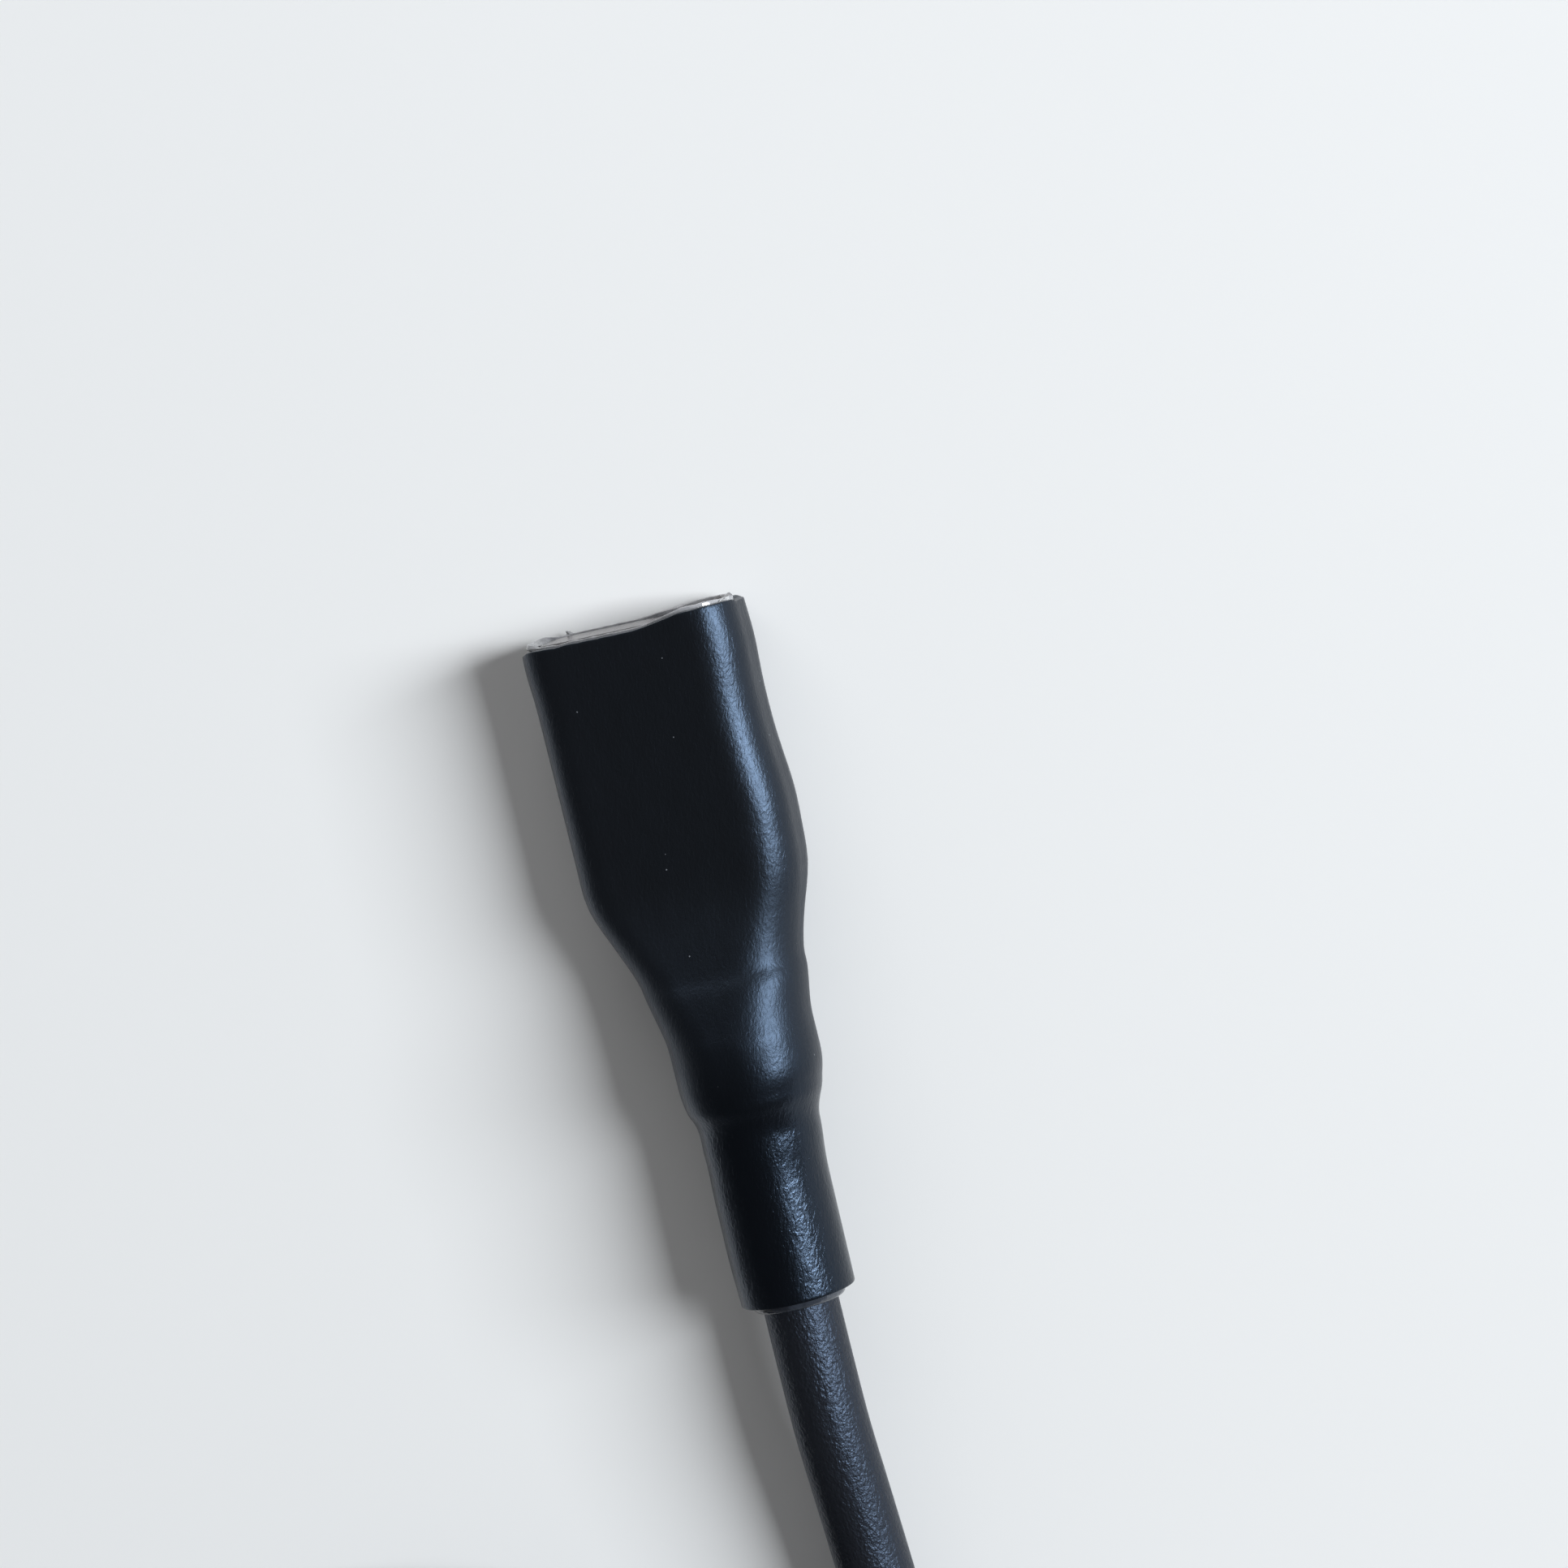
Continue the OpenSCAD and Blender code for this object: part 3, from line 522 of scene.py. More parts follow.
def place_piece(piece, body, finish, replaced=(), smooth=40):
    """Puts a finished mesh in the frame: shading, material, its body and the CAD nodes that it stands for.

    A piece given no body is not attached to one.
    """
    select(piece)
    bpy.ops.object.transform_apply(location=True, rotation=True, scale=True)
    bpy.ops.object.shade_smooth_by_angle(angle=math.radians(smooth))
    piece.data.materials.clear()
    piece.data.materials.append(finish)
    if body:
        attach(piece, body)
    if replaced:
        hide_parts(*replaced)
    return piece


# ---------------------------------------------------------------- free cable
coil_r = 40.5 * mm
coil_gap = 0.6 * mm
layer_turns = 1.25
layer_h = cable_d + coil_gap
coil_z = 4.1 * mm
top_z = coil_z + layer_h
coil_centre = Vector((2 * mm - coil_r, -93 * mm, 0))
turn_r = coil_r - layer_turns * layer_h
follow_angle = math.radians(20)
bend_r = 29 * mm
boot_r = 4.6 * mm
follow_pivot = coil_centre - Vector((0, 3 * mm, 0))
bend_pivot = follow_pivot + (coil_r - bend_r) * Vector((math.cos(follow_angle), -math.sin(follow_angle), 0))
plug_at = Vector((bend_pivot.x - 3 * mm, bend_pivot.y - bend_r, top_z + cable_r + boot_r + 0.1 * mm))
lead_route = [
    (0.6, -30.25, 5.9), (0.6, -37, 5.9), (0.6, -43, 5.7), (0.7, -49, 5.1), (0.8, -55, 4.5), (1, -61, 4.2),
    (1.3, -67, 4.1), (1.7, -73, 4.1), (2, -79, 4.1), (2, -82.5, 4.1), (2, -86.2, 4.1), (2, -89.6, 4.1),
]


def coil_radius(u):
    v = u - layer_turns
    if v < 0:
        return coil_r - layer_h * u
    if v < 0.5:
        return turn_r - layer_h * (v - 2 * v * v)
    return turn_r + layer_h * (v - 0.5)


def coil_height(u):
    return coil_z + layer_h * ease((u - layer_turns) / 0.5)


def coil_point(u):
    angle = -2 * math.pi * u
    return coil_centre + Vector((
        coil_radius(u) * math.cos(angle), coil_radius(u) * math.sin(angle), coil_height(u)))


def tail_point(angle):
    """Past the coil the cable follows the outer turn a little, bends inwards and climbs on to the turns."""
    follows = angle < follow_angle
    pivot, r = (follow_pivot, coil_r) if follows else (bend_pivot, bend_r)
    run = coil_r * min(angle, follow_angle) + bend_r * max(angle - follow_angle, 0)
    whole = coil_r * follow_angle + bend_r * (math.pi / 2 - follow_angle)
    height = between(top_z, plug_at.z, ease(run / whole))
    return pivot + Vector((r * math.cos(angle), -r * math.sin(angle), height))


def cable_route():
    coil = [coil_point(i / 24) for i in range(3 * 24 + 1)]
    tail = [tail_point(math.radians(a)) for a in range(0, 91, 5)]
    return [Vector(p) * mm for p in lead_route] + coil + tail + [plug_at]


def through(points, step):
    """Points about a step apart on a smooth curve through the given ones."""
    found = []
    for i in range(len(points) - 1):
        p1, p2 = points[i], points[i + 1]
        p0 = points[i - 1] if i else p1 * 2 - p2
        p3 = points[i + 2] if i + 2 < len(points) else p2 * 2 - p1
        cuts = max(1, round((p2 - p1).length / step))
        for t in (k / cuts for k in range(cuts)):
            found.append(0.5 * (
                2 * p1 + (p2 - p0) * t + (2 * p0 - 5 * p1 + 4 * p2 - p3) * t * t
                + (3 * p1 - p0 - 3 * p2 + p3) * t * t * t))
    return found + [points[-1]]


def tube(name, line, radius, sides):
    """A closed round tube along a line. Its UV map is in metres: round the tube in x and along it in y."""
    ways = [(line[min(i + 1, len(line) - 1)] - line[max(i - 1, 0)]).normalized() for i in range(len(line))]
    side = ways[0].orthogonal().normalized()
    points, lengths = [], [0]
    for i, (centre, way) in enumerate(zip(line, ways)):
        side = (side - way * side.dot(way)).normalized()
        up = way.cross(side)
        if i:
            lengths.append(lengths[-1] + (centre - line[i - 1]).length)
        for a in (2 * math.pi * k / sides for k in range(sides)):
            points.append(centre + radius * (side * math.cos(a) + up * math.sin(a)))
    faces = []
    for i in range(len(line) - 1):
        for k in range(sides):
            a, b = i * sides + k, i * sides + (k + 1) % sides
            faces.append((a, b, b + sides, a + sides))
    last = (len(line) - 1) * sides
    faces += [tuple(reversed(range(sides))), tuple(range(last, last + sides))]
    mesh = bpy.data.meshes.new(name)
    mesh.from_pydata(points, [], faces)
    uv = mesh.uv_layers.new(name="along")
    for face in mesh.polygons:
        for corner, loop in enumerate(face.loop_indices):
            i, k = divmod(face.vertices[corner], sides)
            if len(face.vertices) == 4 and k == 0 and corner in (1, 2):
                k = sides
            uv.data[loop].uv = (2 * math.pi * radius * k / sides, lengths[i])
    piece = bpy.data.objects.new(name, mesh)
    bpy.context.collection.objects.link(piece)
    return piece


cable_line = through(cable_route(), 1 * mm)
cable = tube("cable", cable_line, cable_r, 36)
place_piece(cable, "head", jacket_finish(), ("cable_lead", "cable_coil", "cable_tail"))


# ---------------------------------------------------------------- sleeve, lining and bead
# Humps of the skin in millimetres: height, middle and reach
left_humps = [
    (0.18, 1.5, 2.5), (0.1, 24, 2), (-0.17, 30.5, 2), (-0.3, 44.2, 1.8), (-0.16, 48, 2), (0.1, 56.5, 3)]
right_humps = [
    (0.22, 3, 3), (0.5, 17.5, 4.6), (0.2, 24.6, 2.6), (-0.3, 42, 1.2), (0.32, 46, 2.4)]
ridge_s = 31 * mm
ridge_rise = 1.4 * mm
ridge_fade_s = 33 * mm
ridge_fade = 4 * mm
skin_sides = 144
skin_cuts = (15, 11)
film_t = 0.04 * mm


def hump(s, middle, reach):
    """1 at the middle, fading to nothing at about twice the reach. Both are in millimetres."""
    return math.exp(-((s / mm - middle) / reach) ** 2)


def swell(s, humps):
    """How far the skin stands out on one side, where it didn't shrink evenly."""
    return mm * sum(height * hump(s, middle, reach) for height, middle, reach in humps)


def section(s):
    """Middle x and z, half width, half thickness and corner radius of the sleeve, s back from its mouth."""
    if s < block_len:
        x, z, half_w, half_t, r = 0, mid_z, block_w / 2, block_t / 2, block_r
    elif s < collar_end_s:
        t = min((s - block_len) / (collar_s - block_len), 1)
        half_t = between(block_t, collar_t, t ** 1.5) / 2
        half_w = between(collar_w, block_w, (1 - t) ** 1.5) / 2
        x, z, r = collar_x * t ** 1.3, half_t, between(block_r, collar_t / 2 - 0.1 * mm, t)
    elif s < tail_s:
        e = ease((s - collar_end_s) / step_len)
        half_t = between(collar_t, tail_d, e) / 2
        half_w = between(collar_w, tail_d, e) / 2
        x, z = between(collar_x, cable_x, e), between(collar_t / 2, cable_z, e)
        r = half_t - 0.1 * mm * (1 - e)
    else:
        half_t = between(tail_d, tail_end_d, min((s - tail_s) / (sleeve_len - tail_s), 1)) / 2
        x, z, half_w, r = cable_x, cable_z, half_t, half_t
    ridge = inner_tube_edge * ease((s - ridge_s) / ridge_rise) * (1 - ease((s - ridge_fade_s) / ridge_fade))
    crease = 0.09 * mm * hump(s, 42.9, 0.4)
    left, right = swell(s, left_humps), swell(s, right_humps) + ridge
    raised = 0.4 * ridge + crease
    return x + (right - left) / 2, z + raised, half_w + (left + right) / 2 + crease, half_t + raised, r


def on_outline(s, angle, inset):
    """The point of the sleeve's section at a distance s, that far inside its skin, at an angle from +X."""
    x, z, half_w, half_t, r = section(s)
    half_w, half_t, r = half_w - inset, half_t - inset, max(r - inset, 0.3 * mm)
    way = Vector((half_w * math.cos(angle), half_t * math.sin(angle))).normalized()
    ax, az = abs(way.x), abs(way.y)
    flat_x, flat_z = half_w - r, half_t - r
    if az * flat_x >= ax * half_t:
        reach = half_t / az
    elif ax * flat_z >= az * half_w:
        reach = half_w / ax
    else:
        middle = ax * flat_x + az * flat_z
        reach = middle + math.sqrt(max(middle ** 2 - flat_x ** 2 - flat_z ** 2 + r ** 2, 0))
    return Vector((x + way.x * reach, mouth_y - s, z + way.y * reach))


def smooth_outline(s, angle, inset):
    """The same point, averaged along the head, and most where the block ends: shrunk skin has no folds."""
    reach = 0.6 + 1.6 * ease((s / mm - 15) / 6) * (1 - ease((s / mm - 27) / 4))
    point = Vector((0, 0, 0))
    for d, share in ((-1, 0.12), (-0.5, 0.22), (0, 0.32), (0.5, 0.22), (1, 0.12)):
        point += on_outline(min(max(s + d * reach * mm, 0), sleeve_len), angle, inset) * share
    point.y = mouth_y - s
    return point


def cut_edge(x, z):
    """How far the sleeve's mouth lies in front of an even cut: trimmed by hand, longest on the right.

    The front is the edge on top and the back the edge on the floor. The sides have a cut of their own.
    """
    x, z = x / mm, z / mm
    front = 0.02 + 0.7 * ease((x - 0.9) / 6.3)
    back = 0.12 + 0.02 * x + 0.22 * ease((x + 1) / 3)
    side, under = (-0.35, 8.8) if x < 0 else (0.35, 6.3)
    edge = between(back, front, ease((z - 3.5) / 4))
    edge = between(edge, side, ease((abs(x) - 8.6) / 1.3) * ease((under - z) / 1.5))
    return (edge + 0.07 * noise.noise(Vector((x, z, 0)) / 1.3)) * mm


def rim_edge(x, z):
    """How far the lining's rim stands beyond its even cut: just past the sleeve, and most on the right."""
    lip = 0.36 * mm * ease((x / mm - 2) / 4)
    front = cut_edge(x, block_t) - 0.16 * mm
    near = ease((z - 5.5 * mm) / (2 * mm))
    back = 0.22 * mm * ease((x / mm + 1) / 3) - 0.12 * mm * ease((-8 - x / mm) / 0.9)
    ragged = 0.05 * mm * noise.noise(Vector((x, z, 7 * mm)) / (0.9 * mm))
    return between(back, front, near) + lip * (1 - 0.5 * near) + ragged


def flare_rim(lining):
    """Spreads the rim's left end over the sleeve's cut, as it was squeezed there."""
    for vertex in lining.data.vertices:
        x, in_front = vertex.co.x / mm, (vertex.co.y - mouth_y) / mm
        vertex.co.x -= 0.55 * mm * ease((-8.2 - x) / 0.8) * ease((in_front + 0.15) / 0.4)


def shrink_on(piece, inset, s0, s1, front_edge):
    """Moves an open tube's vertices to the head's outline between s0 and s1."""
    fade = 5 * mm
    for vertex in piece.data.vertices:
        angle = math.atan2(vertex.co.z, vertex.co.x)
        s = between(s0, s1, 0.5 - vertex.co.y)
        point = smooth_outline(max(s, 0), angle, inset)
        point.y = mouth_y - s
        near = max(1 - (s - s0) / fade, 0) ** 2
        point.y += near * front_edge(point.x, point.z)
        vertex.co = point


def make_sleeve():
    sleeve = lathe_rows("sleeve", skin_sides, skin_cuts)
    shrink_on(sleeve, 0, 0, sleeve_len, cut_edge)
    use(sleeve, "SOLIDIFY", thickness=sleeve_wall, offset=-1)
    soften(sleeve, 0.12 * mm, 2, 50)
    place_piece(sleeve, "head", sleeve_finish(), ("outer_sleeve",))


def make_lining():
    lining = lathe_rows("lining", skin_sides, skin_cuts)
    shrink_on(lining, sleeve_wall, -rim_proud, sleeve_len, rim_edge)
    flare_rim(lining)
    use(lining, "SOLIDIFY", thickness=liner_wall, offset=-1)
    soften(lining, 0.1 * mm, 3, 50)
    finish = lining_finish("lining", (0.135, 0.137, 0.148), (0.31, 0.312, 0.328), 0.12)
    place_piece(lining, "head", finish, ("adhesive_liner",))


def make_flake(name, film, place, across, up, long, wide):
    """A torn shred of the lining's film: a thin, curled scrap with an uneven edge."""
    bpy.ops.mesh.primitive_grid_add(x_subdivisions=12, y_subdivisions=6, size=1)
    flake = new_piece(name)
    across, up = Vector(across).normalized(), Vector(up).normalized()
    over = across.cross(up)
    for vertex in flake.data.vertices:
        a, b = vertex.co.x, vertex.co.y + 0.5
        b *= (1 - (2 * a) ** 4) * (0.7 + 0.6 * noise.noise(Vector((a * 7, place[0], 0))))
        curl = 0.25 * b * b + 0.12 * math.sin(9 * a + 3 * b)
        vertex.co = Vector(place) * mm + across * (a * long) + up * (b * wide) + over * (curl * wide)
    close_up(flake)
    use(flake, "SOLIDIFY", thickness=film_t, offset=0)
    soften(flake, film_t / 4, 1)
    place_piece(flake, "head", film)


def make_flakes():
    """Three shreds of film that hang on the lining's rim. Their places are in millimetres."""
    film = lining_finish("film", (0.3, 0.3, 0.31), (0.55, 0.55, 0.56), 0.08)
    front = mouth_y / mm + 0.25
    make_flake("film_right", film, place=(8.3, front + 0.4, 3.4), across=(1, 0.1, 0.35), up=(0.35, 1, 0),
               long=2.6 * mm, wide=0.5 * mm)
    make_flake("film_corner", film, place=(9.35, front + 0.35, 6), across=(0.5, 0.1, -1), up=(0.6, 1, 0),
               long=1.6 * mm, wide=0.55 * mm)
    make_flake("film_tuft", film, place=(-7.3, front - 0.05, 1.15), across=(1, 0.2, 0), up=(-0.2, 1, -0.1),
               long=0.7 * mm, wide=0.5 * mm)


def make_bead():
    """Lining that was squeezed out round the cable: a full lip that leans on the sleeve's end."""
    inner, outer = cable_r + bead_gap, cable_r + bead_w
    straight, full, steps = 0.05 * mm, bead_len + 0.15 * mm, 12
    profile = [(-bead_root, inner), (-bead_root, outer), (straight, outer)]
    for k in range(1, steps + 1):
        a = math.pi * k / steps
        out = (full - straight) * math.sin(a) ** 0.8
        profile.append((straight + out, between(outer, inner, (1 - math.cos(a)) / 2)))
    bead = hollow_turned("bead", (cable_x, exit_y, cable_z), (0, -1, 0), profile, 96)
    for vertex in bead.data.vertices:
        beyond = exit_y - vertex.co.y
        if beyond > 0.1 * mm:
            spot = Vector((vertex.co.x, 0, vertex.co.z)) / (2.4 * mm)
            vertex.co.y -= beyond * 0.35 * noise.noise(spot)
    finish = lining_finish("bead", (0.01, 0.012, 0.017), (0.03, 0.036, 0.048), 0.1)
    place_piece(bead, "head", finish, ("glue_bead",), smooth=60)


# ---------------------------------------------------------------- key
def make_key():
    """Slab with a slightly hollow face. Its stem, flange and plunger run back into the housing."""
    tip_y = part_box("press_key")[0].y
    slab = box_between(
        "key", (-key_half_w, key_back_y, mid_z - key_half_t), (key_half_w, key_face_y, mid_z + key_half_t))
    pick_edges(slab, lambda a, b: abs(a.y - b.y) > key_t / 2)
    bpy.ops.mesh.bevel(offset=block_r - skin - key_gap, segments=12)
    pick_edges(slab, lambda a, b: min(a.y, b.y) > key_face_y - touching)
    bpy.ops.mesh.bevel(offset=key_lip / 2, segments=4)
    pick_faces(slab, lambda face: face.normal.y > 0.99 and face.center.y > key_face_y - touching)
    for width, depth in ((0.3, 0.01), (0.5, 0.03), (0.6, 0.02)):
        bpy.ops.mesh.inset(thickness=width * mm, depth=-depth * mm)
    bpy.ops.object.mode_set(mode="OBJECT")
    parts = [slab]
    flange_y = key_back_y - spring_len - shell_wall - flange_gap
    foot_y = flange_y - flange_t
    flange_w, flange_h = stem_w / 2 + flange_margin, block_t / 2 - skin - flange_margin
    for name, x0, x1, y0, y1, half_h in (
            ("stem", -stem_w / 2, stem_w / 2, flange_y - laps, key_back_y + laps, stem_t / 2),
            ("flange", -flange_w, flange_w, foot_y, flange_y, flange_h),
            ("plunger", plunger_x, plunger_x + plunger_w, tip_y, foot_y + laps, plunger_half_h)):
        part = box_between(name, (x0, y0, mid_z - half_h), (x1, y1, mid_z + half_h))
        use(part, "BEVEL", width=0.15 * mm, segments=3)
        parts.append(part)
    for side in (-1, 1):
        parts.append(turned("peg", (side * spring_x, key_back_y + laps, mid_z), (0, -1, 0), [
            (0, peg_r), (peg_len, peg_r), (peg_len + peg_chamfer, peg_r - peg_chamfer)], 32))
    deselect()
    for part in parts:
        part.select_set(True)
    bpy.context.view_layer.objects.active = slab
    bpy.ops.object.join()
    close_up(slab)
    place_piece(slab, "key", key_finish(), ("press_key",))


# ---------------------------------------------------------------- springs and contact leaves
spring_r = 1.35 * mm
wire_r = 0.2 * mm
leaf_t = 0.2 * mm
leaf_tip_r = 0.5 * mm
burr = 0.03 * mm
leaf_h = 3.2 * mm
tab_h = 0.9 * mm
core_pitch = 1.4 * mm
pile_screw_x = -3.7 * mm
bush_hole_r = 0.95 * mm
point_x = 5.8 * mm
point_r = 0.6 * mm
point_h = 0.15 * mm
point_top_r = 0.44 * mm


def make_spring(name, side, wire):
    """A coil of round wire behind the key, which shortens as the key is pressed."""
    turns, steps, end = 4, 24, wire_r + 0.02 * mm
    line = []
    for i in range(turns * steps + 1):
        angle = 2 * math.pi * i / steps
        line.append(Vector((
            side * spring_x + spring_r * math.cos(angle),
            key_back_y - between(end, spring_len - end, i / (turns * steps)),
            mid_z + spring_r * math.sin(angle))))
    spring = place_piece(tube(name, line, wire_r, 10), "head", wire, ("return_springs",))
    key_back_y - spring_len
    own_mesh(spring)


def bend_with_key(piece):
    """Bakes the piece's transform into its mesh."""
    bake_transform(piece)


def make_leaf(node, tab_z, strip, silver, points):
    """A contact leaf with its tab and points. The key's plunger bends it."""
    low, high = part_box(node)
    name = "strip_" + node.split("_")[0]
    leaf = box_between(
        name, (low.x, high.y - leaf_t, mid_z - leaf_h / 2), (high.x, high.y, mid_z + leaf_h / 2))
    pick_edges(leaf, lambda a, b: abs(a.x - b.x) > leaf_h)
    bpy.ops.mesh.subdivide(number_cuts=18)
    pick_edges(leaf, lambda a, b: min(a.x, b.x) > high.x - touching and abs(a.y - b.y) > leaf_t / 2)
    bpy.ops.mesh.bevel(offset=leaf_tip_r, segments=5)
    bpy.ops.object.mode_set(mode="OBJECT")
    merge_with(leaf, turned("hole", (pile_screw_x, high.y + leaf_t, mid_z), (0, -1, 0), [
        (0, bush_hole_r), (3 * leaf_t, bush_hole_r)], 32), "DIFFERENCE")
    soften(leaf, burr, 2)
    tab_x = low.x + 0.04 * mm
    tab = box_between("tab", (tab_x, low.y, tab_z - tab_h / 2), (
        tab_x + 0.8 * leaf_t, high.y - 0.5 * leaf_t, tab_z + tab_h / 2))
    soften(tab, burr, 2)
    merge_with(leaf, tab, "UNION")
    close_up(leaf)
    bend_with_key(place_piece(leaf, None, strip, (node,)))
    for side, way, face_y in (("front", 1, high.y), ("rear", -1, high.y - leaf_t)):
        if side in points:
            point = turned(f"point_{name}_{side}", (point_x, face_y, mid_z), (0, way, 0), [
                (0, point_r), (0.09 * mm, point_r), (0.13 * mm, 0.55 * mm), (point_h, point_top_r)], 32)
            bend_with_key(place_piece(point, None, silver, ("contact_points",)))


def make_switch():
    wire = metal_finish("spring_wire", (0.6, 0.61, 0.63), (0.38, 0.36, 0.33), 0.24, (3, 3, 3))
    strip = metal_finish("leaf_strip", (0.72, 0.42, 0.2), (0.32, 0.16, 0.08), 0.28, (1, 9, 1))
    silver = metal_finish("silver_points", (0.9, 0.88, 0.84), (0.4, 0.36, 0.3), 0.22)
    make_spring("spring_left", -1, wire)
    make_spring("spring_right", 1, wire)
    make_leaf("common_leaf", mid_z + core_pitch, strip, silver, ("rear",))
    make_leaf("half_press_leaf", mid_z, strip, silver, ("front", "rear"))
    make_leaf("release_leaf", mid_z - core_pitch, strip, silver, ("front",))


# ---------------------------------------------------------------- tie and plug
tie_w = 5 * mm
tie_t = 0.4 * mm
tie_gap = 0.3 * mm
plug_way = Vector((-1, 0, 0))
plug_r = 1.75 * mm
plug_sleeve_len = 5.7 * mm
insulator_len = 0.6 * mm
ring_len = 2.4 * mm
relief_len = 10 * mm
boot_len = 24 * mm


def strap_outline(count, out):
    """Evenly spaced points of a taut line round the turns: distance from the coil's middle, and height."""
    strands = [Vector((coil_radius(u), coil_height(u))) for u in (0.5, 1.5, 2.5)]
    corners = []
    for a in (2 * math.pi * k / 360 for k in range(360)):
        way = Vector((math.cos(a), math.sin(a)))
        corners.append(max(strands, key=lambda p: p.dot(way)) + way * (cable_r + tie_gap + out))
    runs = [0]
    for i, corner in enumerate(corners):
        runs.append(runs[-1] + (corners[(i + 1) % len(corners)] - corner).length)
    points, i = [], 0
    for along in (runs[-1] * k / count for k in range(count)):
        while runs[i + 1] < along:
            i += 1
        share = (along - runs[i]) / (runs[i + 1] - runs[i])
        points.append(corners[i].lerp(corners[(i + 1) % len(corners)], share))
    return points, runs[-1]


def make_tie():
    """A woven strap pulled taut round the turns, with its loose end lying on itself."""
    count, end_from, end_to, point_from, thread_pitch = 240, 0.12, 0.34, 0.38, 0.9 * mm
    outline, length = strap_outline(count, 0)
    bpy.ops.mesh.primitive_cylinder_add(
        vertices=count, radius=1, depth=tie_w, end_fill_type="NOTHING", rotation=(math.pi / 2, 0, 0))
    tie = new_piece("tie")
    bpy.ops.object.transform_apply(location=True, rotation=True, scale=True)
    for vertex in tie.data.vertices:
        k = round(math.atan2(vertex.co.z, vertex.co.x) / (2 * math.pi) * count) % count
        vertex.co = (coil_centre.x - outline[k].x, coil_centre.y - vertex.co.y, outline[k].y)
    pick_edges(tie, lambda a, b: abs(a.y - b.y) > tie_w / 2)
    bpy.ops.mesh.subdivide(number_cuts=6)
    bpy.ops.object.mode_set(mode="OBJECT")
    close_up(tie)
    bpy.ops.mesh.primitive_grid_add(x_subdivisions=40, y_subdivisions=6, size=1)
    end = new_piece("tie_end")
    top, _ = strap_outline(count, tie_t + 0.04 * mm)
    for vertex in end.data.vertices:
        along, narrowed = vertex.co.x + 0.5, 0.7 * max(vertex.co.x - point_from, 0) / (0.5 - point_from)
        wide = vertex.co.y * (1 - narrowed) * tie_w
        k = count * between(end_from, end_to, along)
        spot = top[int(k)].lerp(top[int(k) + 1], k % 1)
        vertex.co = (coil_centre.x - spot.x, coil_centre.y + wide, spot.y)
    close_up(end)
    if end.data.polygons[0].normal.dot(Vector((0, 0, 1))) < 0:
        bpy.ops.object.mode_set(mode="EDIT")
        bpy.ops.mesh.flip_normals()
        bpy.ops.object.mode_set(mode="OBJECT")
    finish = woven_finish(threads=round(length / thread_pitch), rows=5)
    for strap, nodes in ((tie, ("coil_tie",)), (end, ())):
        use(strap, "SOLIDIFY", thickness=tie_t, offset=1)
        soften(strap, tie_t / 4, 2)
        place_piece(strap, "head", finish, nodes)
    return [tie, end]


def make_boot():
    """Moulded strain relief of rounded ribs that runs into a round grip with a waist."""
    neck = cable_r + 0.25 * mm
    profile = [(0, cable_r + 0.02 * mm), (0, neck - 0.1 * mm), (0.1 * mm, neck)]
    ribs = 4
    pitch = relief_len / ribs
    for i in range(ribs):
        crest = between(cable_r + 0.6 * mm, boot_r - 0.35 * mm, i / (ribs - 1))
        for t, share in (
                (0.42, 0), (0.5, 0.1), (0.54, 0.75), (0.62, 1), (0.84, 1), (0.92, 0.75), (0.96, 0.1)):
            profile.append(((i + t) * pitch, between(neck, crest, share)))
    grip = boot_len - relief_len
    for t, r in ((0, 0.72), (0.01, 0.9), (0.04, 0.98), (0.08, 1), (0.24, 0.985), (0.36, 0.93), (0.5, 0.91),
                 (0.64, 0.93), (0.76, 0.985), (0.9, 1), (0.95, 0.985), (0.985, 0.93), (1, 0.84), (1, 0.45)):
        profile.append((relief_len + t * grip, boot_r * r))
    boot = turned("boot", plug_at, plug_way, profile, 72)
    finish = moulded_finish("boot", (0.012, 0.012, 0.013), 0.42)
    return place_piece(boot, "head", finish, ("plug_boot",))


def make_contacts():
    soft = 0.08 * mm
    metal = metal_finish("contact", (0.78, 0.78, 0.79), (0.5, 0.48, 0.44), 0.16, (0.5, 12, 12))
    ring = moulded_finish("insulator", (0.02, 0.02, 0.02), 0.4)
    start, made = boot_len, []
    for name, slot, finish, long, radius in (
            ("sleeve_contact", "contact", metal, plug_sleeve_len, plug_r),
            ("insulator_rear", "insulator", ring, insulator_len, plug_r - soft),
            ("ring_contact", "contact", metal, ring_len, plug_r),
            ("insulator_front", "insulator", ring, insulator_len, plug_r - soft)):
        edge = soft if slot == "contact" else 0.01 * mm
        profile = [(0, radius - edge), (edge * 0.3, radius - edge * 0.3), (edge, radius),
                   (long - edge, radius), (long - edge * 0.3, radius - edge * 0.3), (long, radius - edge)]
        made.append((turned(name, plug_at + plug_way * start, plug_way, profile), slot, finish))
        start += long
    tip = [
        (0, 0.95), (0.08, 1), (0.6, 1), (0.75, 0.99), (2.0, 0.67), (2.1, 0.655), (2.25, 0.66), (2.9, 0.84),
        (3.15, 0.89), (3.35, 0.9), (3.5, 0.88), (4.2, 0.55), (4.5, 0.38), (4.65, 0.22), (4.7, 0.02)]
    made.append((turned("tip_contact", plug_at + plug_way * start, plug_way,
                        [(d * mm, r * plug_r) for d, r in tip]), "contact", metal))
    stands_for = {"sleeve_contact": "plug_sleeve", "ring_contact": "plug_ring", "tip_contact": "plug_tip",
                  "insulator_front": "plug_insulators", "insulator_rear": "plug_insulators"}
    return [place_piece(piece, "head", finish, (stands_for[piece.name],), 30)
            for piece, slot, finish in made]


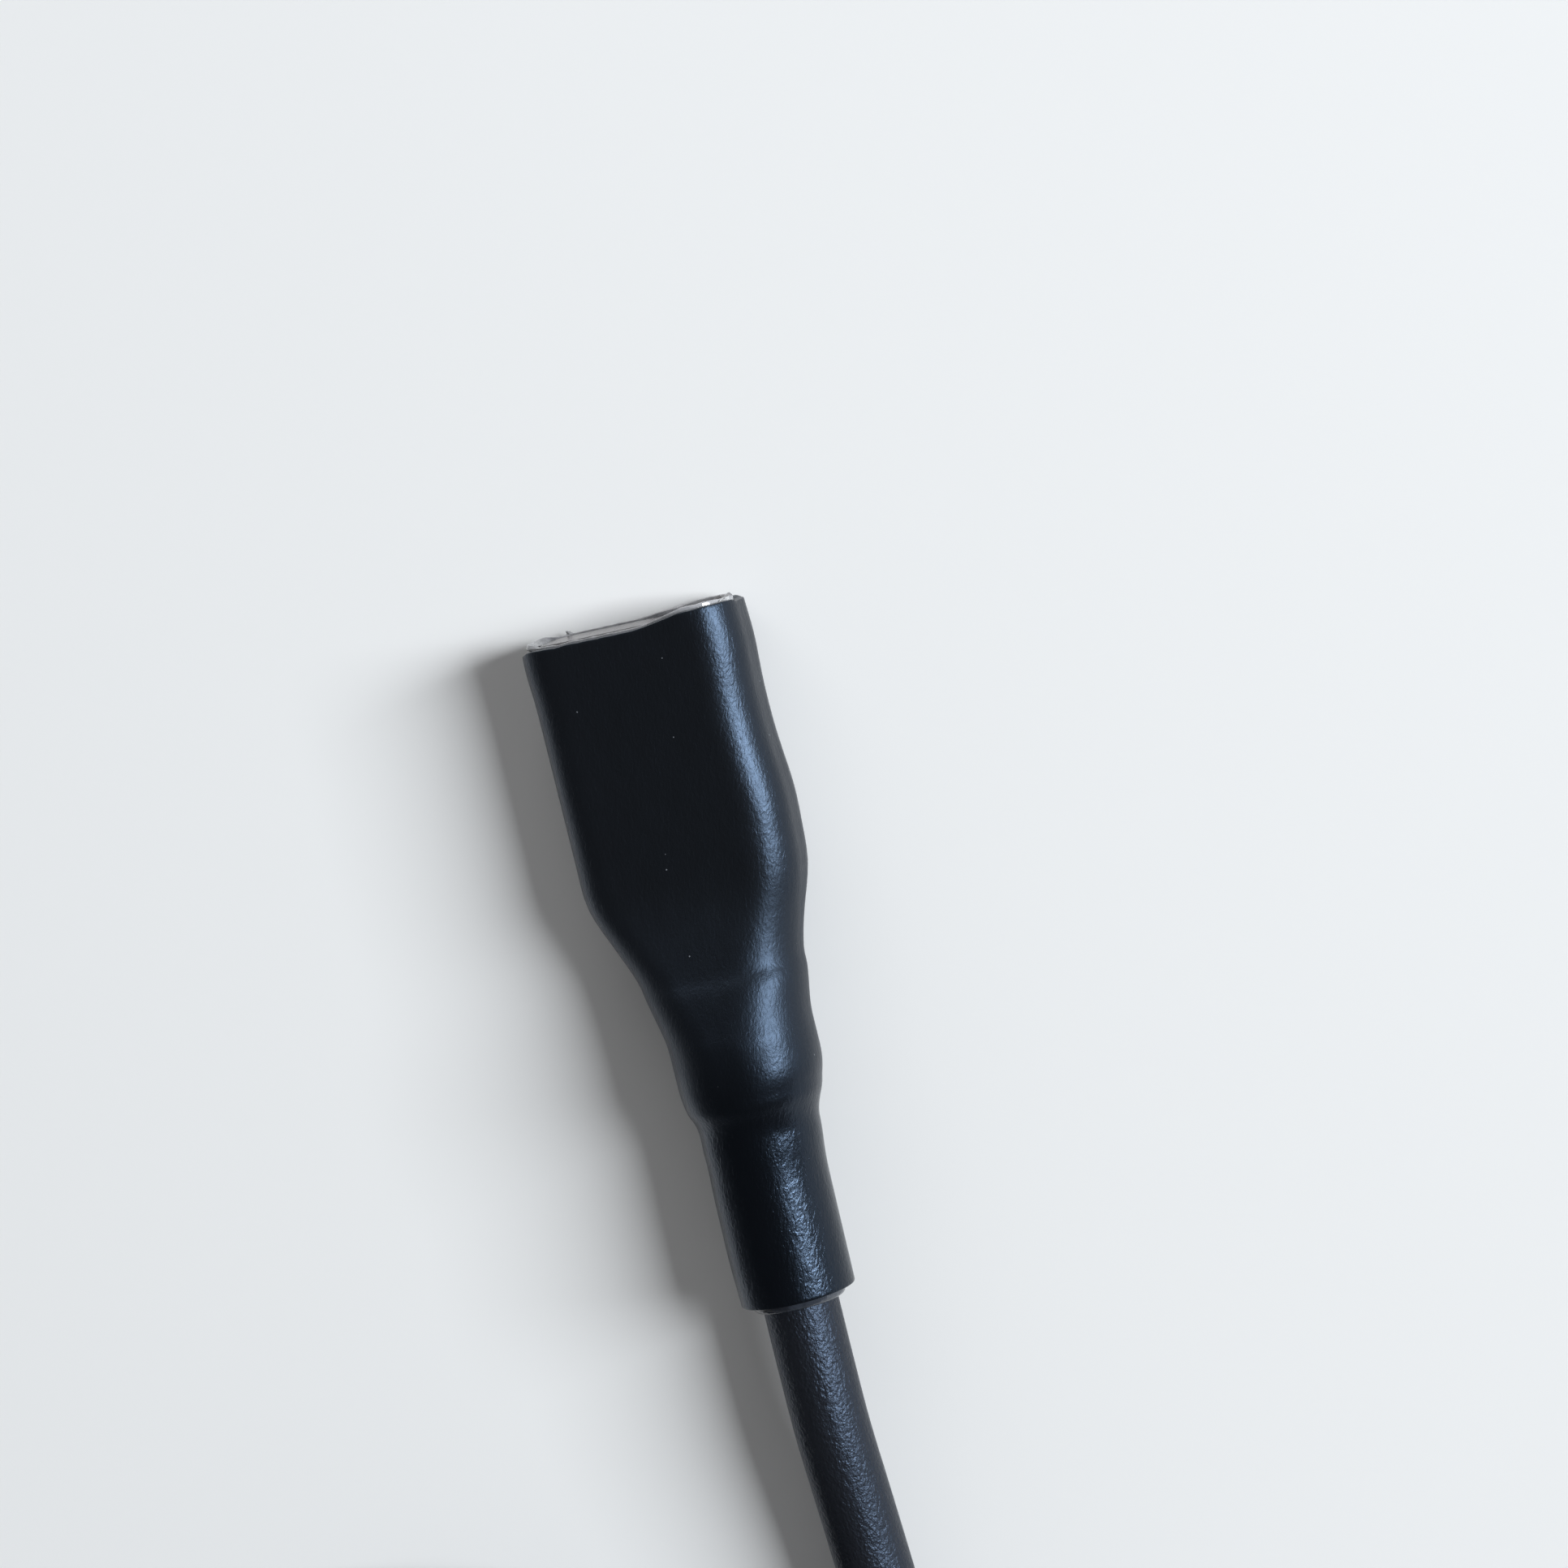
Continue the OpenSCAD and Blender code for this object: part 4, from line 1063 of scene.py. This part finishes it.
def dress(material, *nodes):
    for node in nodes:
        for slot in frame["nodes"][node].material_slots:
            slot.material = material


def dress_inside():
    """Finishes of the parts that the sleeve hides."""
    dress(moulded_finish("shell", (0.012, 0.012, 0.0135), 0.5), "front_shell", "rear_shell")
    dress(moulded_finish("contact_block", (0.55, 0.49, 0.34), 0.42), "contact_block")
    dress(moulded_finish("pressed_board", (0.11, 0.042, 0.014), 0.6, fine=0.16, height=0.03), "leaf_spacers")
    dress(moulded_finish("grommet", (0.008, 0.008, 0.009), 0.62, fine=0.3, height=0.03), "core_grommet")
    dress(moulded_finish("inner_sleeve", (0.004, 0.004, 0.005), 0.4, fine=0.3, height=0.04), "inner_sleeve")
    dress(moulded_finish("jacket_inside", (0.0105, 0.0105, 0.012), 0.5, fine=0.34, height=0.1), "jacket_end")
    dress(moulded_finish("black_core", (0.01, 0.01, 0.011), 0.32, fine=0.3, height=0.01), "core_common")
    dress(moulded_finish("red_core", (0.26, 0.01, 0.008), 0.32, fine=0.3, height=0.01), "core_release")
    dress(moulded_finish("white_core", (0.62, 0.6, 0.53), 0.32, fine=0.3, height=0.01), "core_focus")
    dress(metal_finish("plated_steel", (0.56, 0.56, 0.58), (0.3, 0.27, 0.23), 0.3, (1, 6, 1)),
          "clamp_plate", "pile_screw", "housing_screws", "crimp_ferrule")
    dress(metal_finish("solder", (0.62, 0.62, 0.63), (0.4, 0.4, 0.4), 0.34, (1.5, 1.5, 1.5), height=0.02),
          "solder_joints")
    dress(yarn_finish(), "filler_yarn")


dress_inside()
make_sleeve()
make_lining()
make_flakes()
make_bead()
make_key()
make_switch()
tie = make_tie()
boot = make_boot()
contacts = make_contacts()


# ---------------------------------------------------------------- floor, light and picture settings
def make_stage():
    bpy.ops.mesh.primitive_circle_add(vertices=96, radius=4, fill_type="NGON")
    floor = new_piece("floor")
    floor.data.materials.append(floor_finish())


def make_lamp(name, way, distance, size, power, colour):
    data = bpy.data.lights.new(name, "AREA")
    data.shape = "RECTANGLE"
    data.size, data.size_y = size
    data.energy = power
    data.color = colour
    lamp = bpy.data.objects.new(name, data)
    way = Vector(way).normalized()
    lamp.location = way * distance
    lamp.rotation_euler = way.to_track_quat("Z", "Y").to_euler()
    bpy.context.collection.objects.link(lamp)


def make_world():
    """A plain studio: bright round the horizon and dim overhead."""
    world = bpy.data.worlds.new("studio")
    bpy.context.scene.world = world
    world.use_nodes = True
    tree = world.node_tree
    at = tree.nodes.new("ShaderNodeTexCoord")
    split = tree.nodes.new("ShaderNodeSeparateXYZ")
    climb = tree.nodes.new("ShaderNodeMapRange")
    climb.inputs["From Min"].default_value = 0.05
    climb.inputs["From Max"].default_value = 0.6
    climb.inputs["To Min"].default_value = 0.25
    climb.inputs["To Max"].default_value = 0.07
    tree.links.new(at.outputs["Generated"], split.inputs[0])
    tree.links.new(split.outputs["Z"], climb.inputs["Value"])
    tree.links.new(climb.outputs[0], tree.nodes["Background"].inputs["Strength"])
    tree.nodes["Background"].inputs["Color"].default_value = (0.97, 0.98, 1, 1)


make_stage()
make_lamp(
    "soft_box", way=(0.85, 0.04, 0.52), distance=2.6, size=(0.8, 1.3), power=106, colour=(0.93, 0.97, 1))
make_lamp("fill_panel", way=(-0.1, 0.95, 0.45), distance=1.2, size=(1.2, 0.8), power=5, colour=(1, 1, 1))
make_world()
bpy.context.scene.view_settings.view_transform = "Standard"
